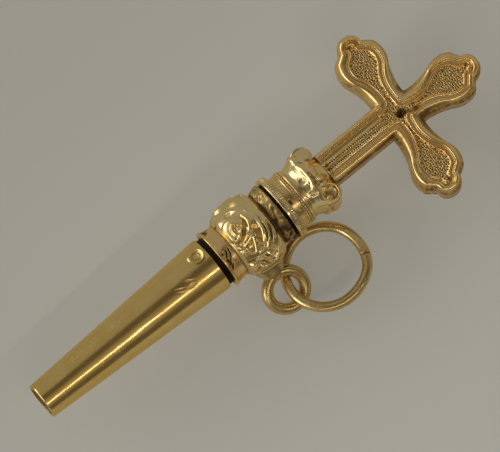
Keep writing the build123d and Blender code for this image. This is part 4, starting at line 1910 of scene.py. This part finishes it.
        # The skirt gets painted shade.
        shade = np.concatenate([dark, np.full(len(skirt), 0.35)])
        word = side.name.lower()
        piece = mesh_object(f"cross_face_{word}", points, faces[:, :: side.value], shade)
        shop.place(piece, "key", "gold_satin", "gold_satin", f"cross_{word}")

    def build(self, shop: Workshop) -> None:
        """Makes both halves.

        Args:
            shop: Where pieces are dressed.
        """
        for side in Side:
            self.build_half(side, shop)
        shop.dress_solids("inner_brass", "cross_tang")


# Studio


@dataclass(frozen=True)
class Card:
    """A soft light in the room, seen from the key in one direction, with angles in degrees."""

    direction: tuple[float, float, float]
    half_angle: float
    softness: float
    strength: float


@dataclass(frozen=True)
class Studio:
    """The table, the room's light and the camera.

    Directions are given in the level view: right, up and towards the camera.
    """

    pitch: float = 7.2
    roll: float = 9.5
    rise: float = 39.0
    distance: float = 900.0
    pixels_per_mm: float = 12.37
    image_width: int = 500
    sensor_width: float = 36.0
    target: tuple[float, float, float] = (22.15, 0.45, 0.0)
    table_colour: tuple[float, float, float] = (0.425, 0.42, 0.377)
    table_glow: float = 0.34
    table_half: float = 1500.0
    table_gap: float = 0.02
    room: float = 0.31
    dark_room: float = 0.11
    dark_direction: tuple[float, float, float] = (0.1, -0.47, 0.88)
    dark_angles: tuple[float, float] = (46.0, 60.0)
    cards: tuple[Card, ...] = (
        Card((-0.46, 0.86, 0.18), 12.0, 12.0, 2.4),
        Card((-0.84, 0.42, 0.34), 9.0, 12.0, 1.8),
        Card((-0.90, 0.10, 0.40), 8.0, 10.0, 2.2),
        Card((-0.62, -0.45, 0.64), 4.0, 8.0, 1.0),
        Card((0.0, -0.45, 0.89), 5.0, 27.0, 0.22),
    )
    lamp_direction: tuple[float, float, float] = (0.0, -0.5, 0.87)
    lamp_target: tuple[float, float, float] = (22.0, 0.0, 0.0)
    lamp_distance: float = 400.0
    lamp_size: tuple[float, float] = (500.0, 15.0)
    lamp_energy: float = 0.15

    def axes(self) -> tuple[Vector, Vector, Vector]:
        """Gives the level view's right, up and towards-the-camera directions.

        Returns:
            The three directions.
        """
        p = math.radians(self.pitch)
        r = math.radians(self.roll)
        toward = Vector((-math.sin(p), -math.sin(r) * math.cos(p), math.cos(r) * math.cos(p)))
        right = Vector((1, 0, 0))
        right = (right - toward * right.dot(toward)).normalized()
        return right, toward.cross(right), toward

    def hang(
        self, name: str, data: bpy.types.ID, place: Vector, axes: tuple[Vector, Vector, Vector]
    ) -> bpy.types.Object:
        """Puts a camera or a lamp in its place.

        Args:
            name: The object's name.
            data: What the object shows.
            place: Where it is, in metres.
            axes: The directions of its own X, Y and Z.

        Returns:
            The new object.
        """
        made = bpy.data.objects.new(name, data)
        bpy.context.scene.collection.objects.link(made)
        made.matrix_world = Matrix.Translation(place) @ Matrix(axes).transposed().to_4x4()
        return made

    def build_camera(self) -> None:
        """Sets the camera over the key at the photograph's angle."""
        right, up, toward = self.axes()
        turn = math.radians(self.rise)
        image_right = right * math.cos(turn) - up * math.sin(turn)
        image_up = right * math.sin(turn) + up * math.cos(turn)
        data = bpy.data.cameras.new("camera")
        data.lens = self.sensor_width * self.distance * self.pixels_per_mm / self.image_width
        data.clip_start = 0.005
        data.clip_end = 20.0
        place = (Vector(self.target) + toward * self.distance) * MM
        bpy.context.scene.camera = self.hang("camera", data, place, (image_right, image_up, toward))

    def room_direction(self, direction: tuple[float, float, float]) -> Vector:
        """Turns a direction given in the level view into one in the scene."""
        right, up, toward = self.axes()
        return (right * direction[0] + up * direction[1] + toward * direction[2]).normalized()

    def build_room(self) -> None:
        """Makes the room's light: an even pale room, dark behind the camera, with soft cards."""
        world = bpy.data.worlds.new("room")
        bpy.context.scene.world = world
        world.use_nodes = True
        desk = NodeDesk(world.node_tree)
        background = world.node_tree.nodes["Background"]
        way = desk.node("ShaderNodeTexCoord").outputs["Generated"]
        dark = desk.towards(way, self.room_direction(self.dark_direction), *self.dark_angles)
        light = desk.math("SUBTRACT", self.room, desk.math("MULTIPLY", dark, self.room - self.dark_room))
        for card in self.cards:
            outer = card.half_angle + card.softness
            shine = desk.towards(way, self.room_direction(card.direction), card.half_angle, outer)
            light = desk.math("ADD", light, desk.math("MULTIPLY", shine, card.strength))
        tint = desk.blend(dark, (1.0, 0.985, 0.94, 1.0), (1.0, 0.90, 0.74, 1.0))
        desk.join(tint, background.inputs["Color"])
        desk.join(light, background.inputs["Strength"])

    def build_lamp(self) -> None:
        """Hangs the narrow lamp that draws the bright line along the barrel."""
        right = self.axes()[0]
        direction = self.room_direction(self.lamp_direction)
        data = bpy.data.lights.new("narrow_lamp", "AREA")
        data.shape = "RECTANGLE"
        data.size = self.lamp_size[0] * MM
        data.size_y = self.lamp_size[1] * MM
        data.energy = self.lamp_energy
        data.color = (1.0, 0.95, 0.85)
        place = (Vector(self.lamp_target) + direction * self.lamp_distance) * MM
        self.hang("narrow_lamp", data, place, (right, direction.cross(right), direction))

    def build_table(self) -> None:
        """Makes the pale table that the key lies on, glowing and brighter towards the ring's side: painted
        light.
        """
        half = self.table_half
        level = CAD_BOX[0][2] / MM - self.table_gap
        corners = ((-half, -half), (half, -half), (half, half), (-half, half))
        points = np.array([[x, y, level] for x, y in corners])
        table = mesh_object("table", points, np.array([[0, 1, 2, 3]]))
        made = bpy.data.materials.new("pale_table")
        made.use_nodes = True
        desk = NodeDesk(made.node_tree)
        shader = made.node_tree.nodes["Principled BSDF"]
        shares = (0.985, 1, 0.93, 1.16)
        low, plain, dim, bright = ((*(c * share for c in self.table_colour), 1) for share in shares)
        place = desk.node("ShaderNodeTexCoord").outputs["Object"]
        cloudy = desk.blend(desk.window(desk.noise(place, 18.0, 3.0), 0.3, 0.7), low, plain)
        split = desk.node("ShaderNodeSeparateXYZ")
        desk.join(place, split.inputs[0])
        # A painted pool of light: the table's colour and glow grow brighter towards the ring's side.
        painted_light_slope = desk.blend(desk.window(split.outputs["Y"], 0.035, -0.03), dim, bright)
        colour = desk.blend(0.75, cloudy, painted_light_slope)
        desk.join(colour, shader.inputs["Base Color"])
        # The glow is painted fill light, which keeps the key's shadows on the table faint.
        desk.join(colour, shader.inputs["Emission Color"])
        desk.set_values(shader, **{"Emission Strength": self.table_glow, "Specular IOR Level": 0.1})
        desk.set_values(shader, Roughness=0.9)
        table.data.materials.append(made)

    def build(self) -> None:
        """Sets up the whole studio."""
        bpy.context.scene.view_settings.view_transform = "Standard"
        self.build_camera()
        self.build_room()
        self.build_lamp()
        self.build_table()


def main() -> None:
    """Builds the key and the studio, and logs each piece."""
    logging.basicConfig(level=logging.INFO, format="%(name)s: %(message)s")
    rack = FinishRack()
    rack.build()
    shop = Workshop(rack)
    Studio().build()
    for part in (Barrel(), Swivel(), ChainRing(), Head(), Knop(), Cross()):
        part.build(shop)


if __name__ == "__main__":
    main()
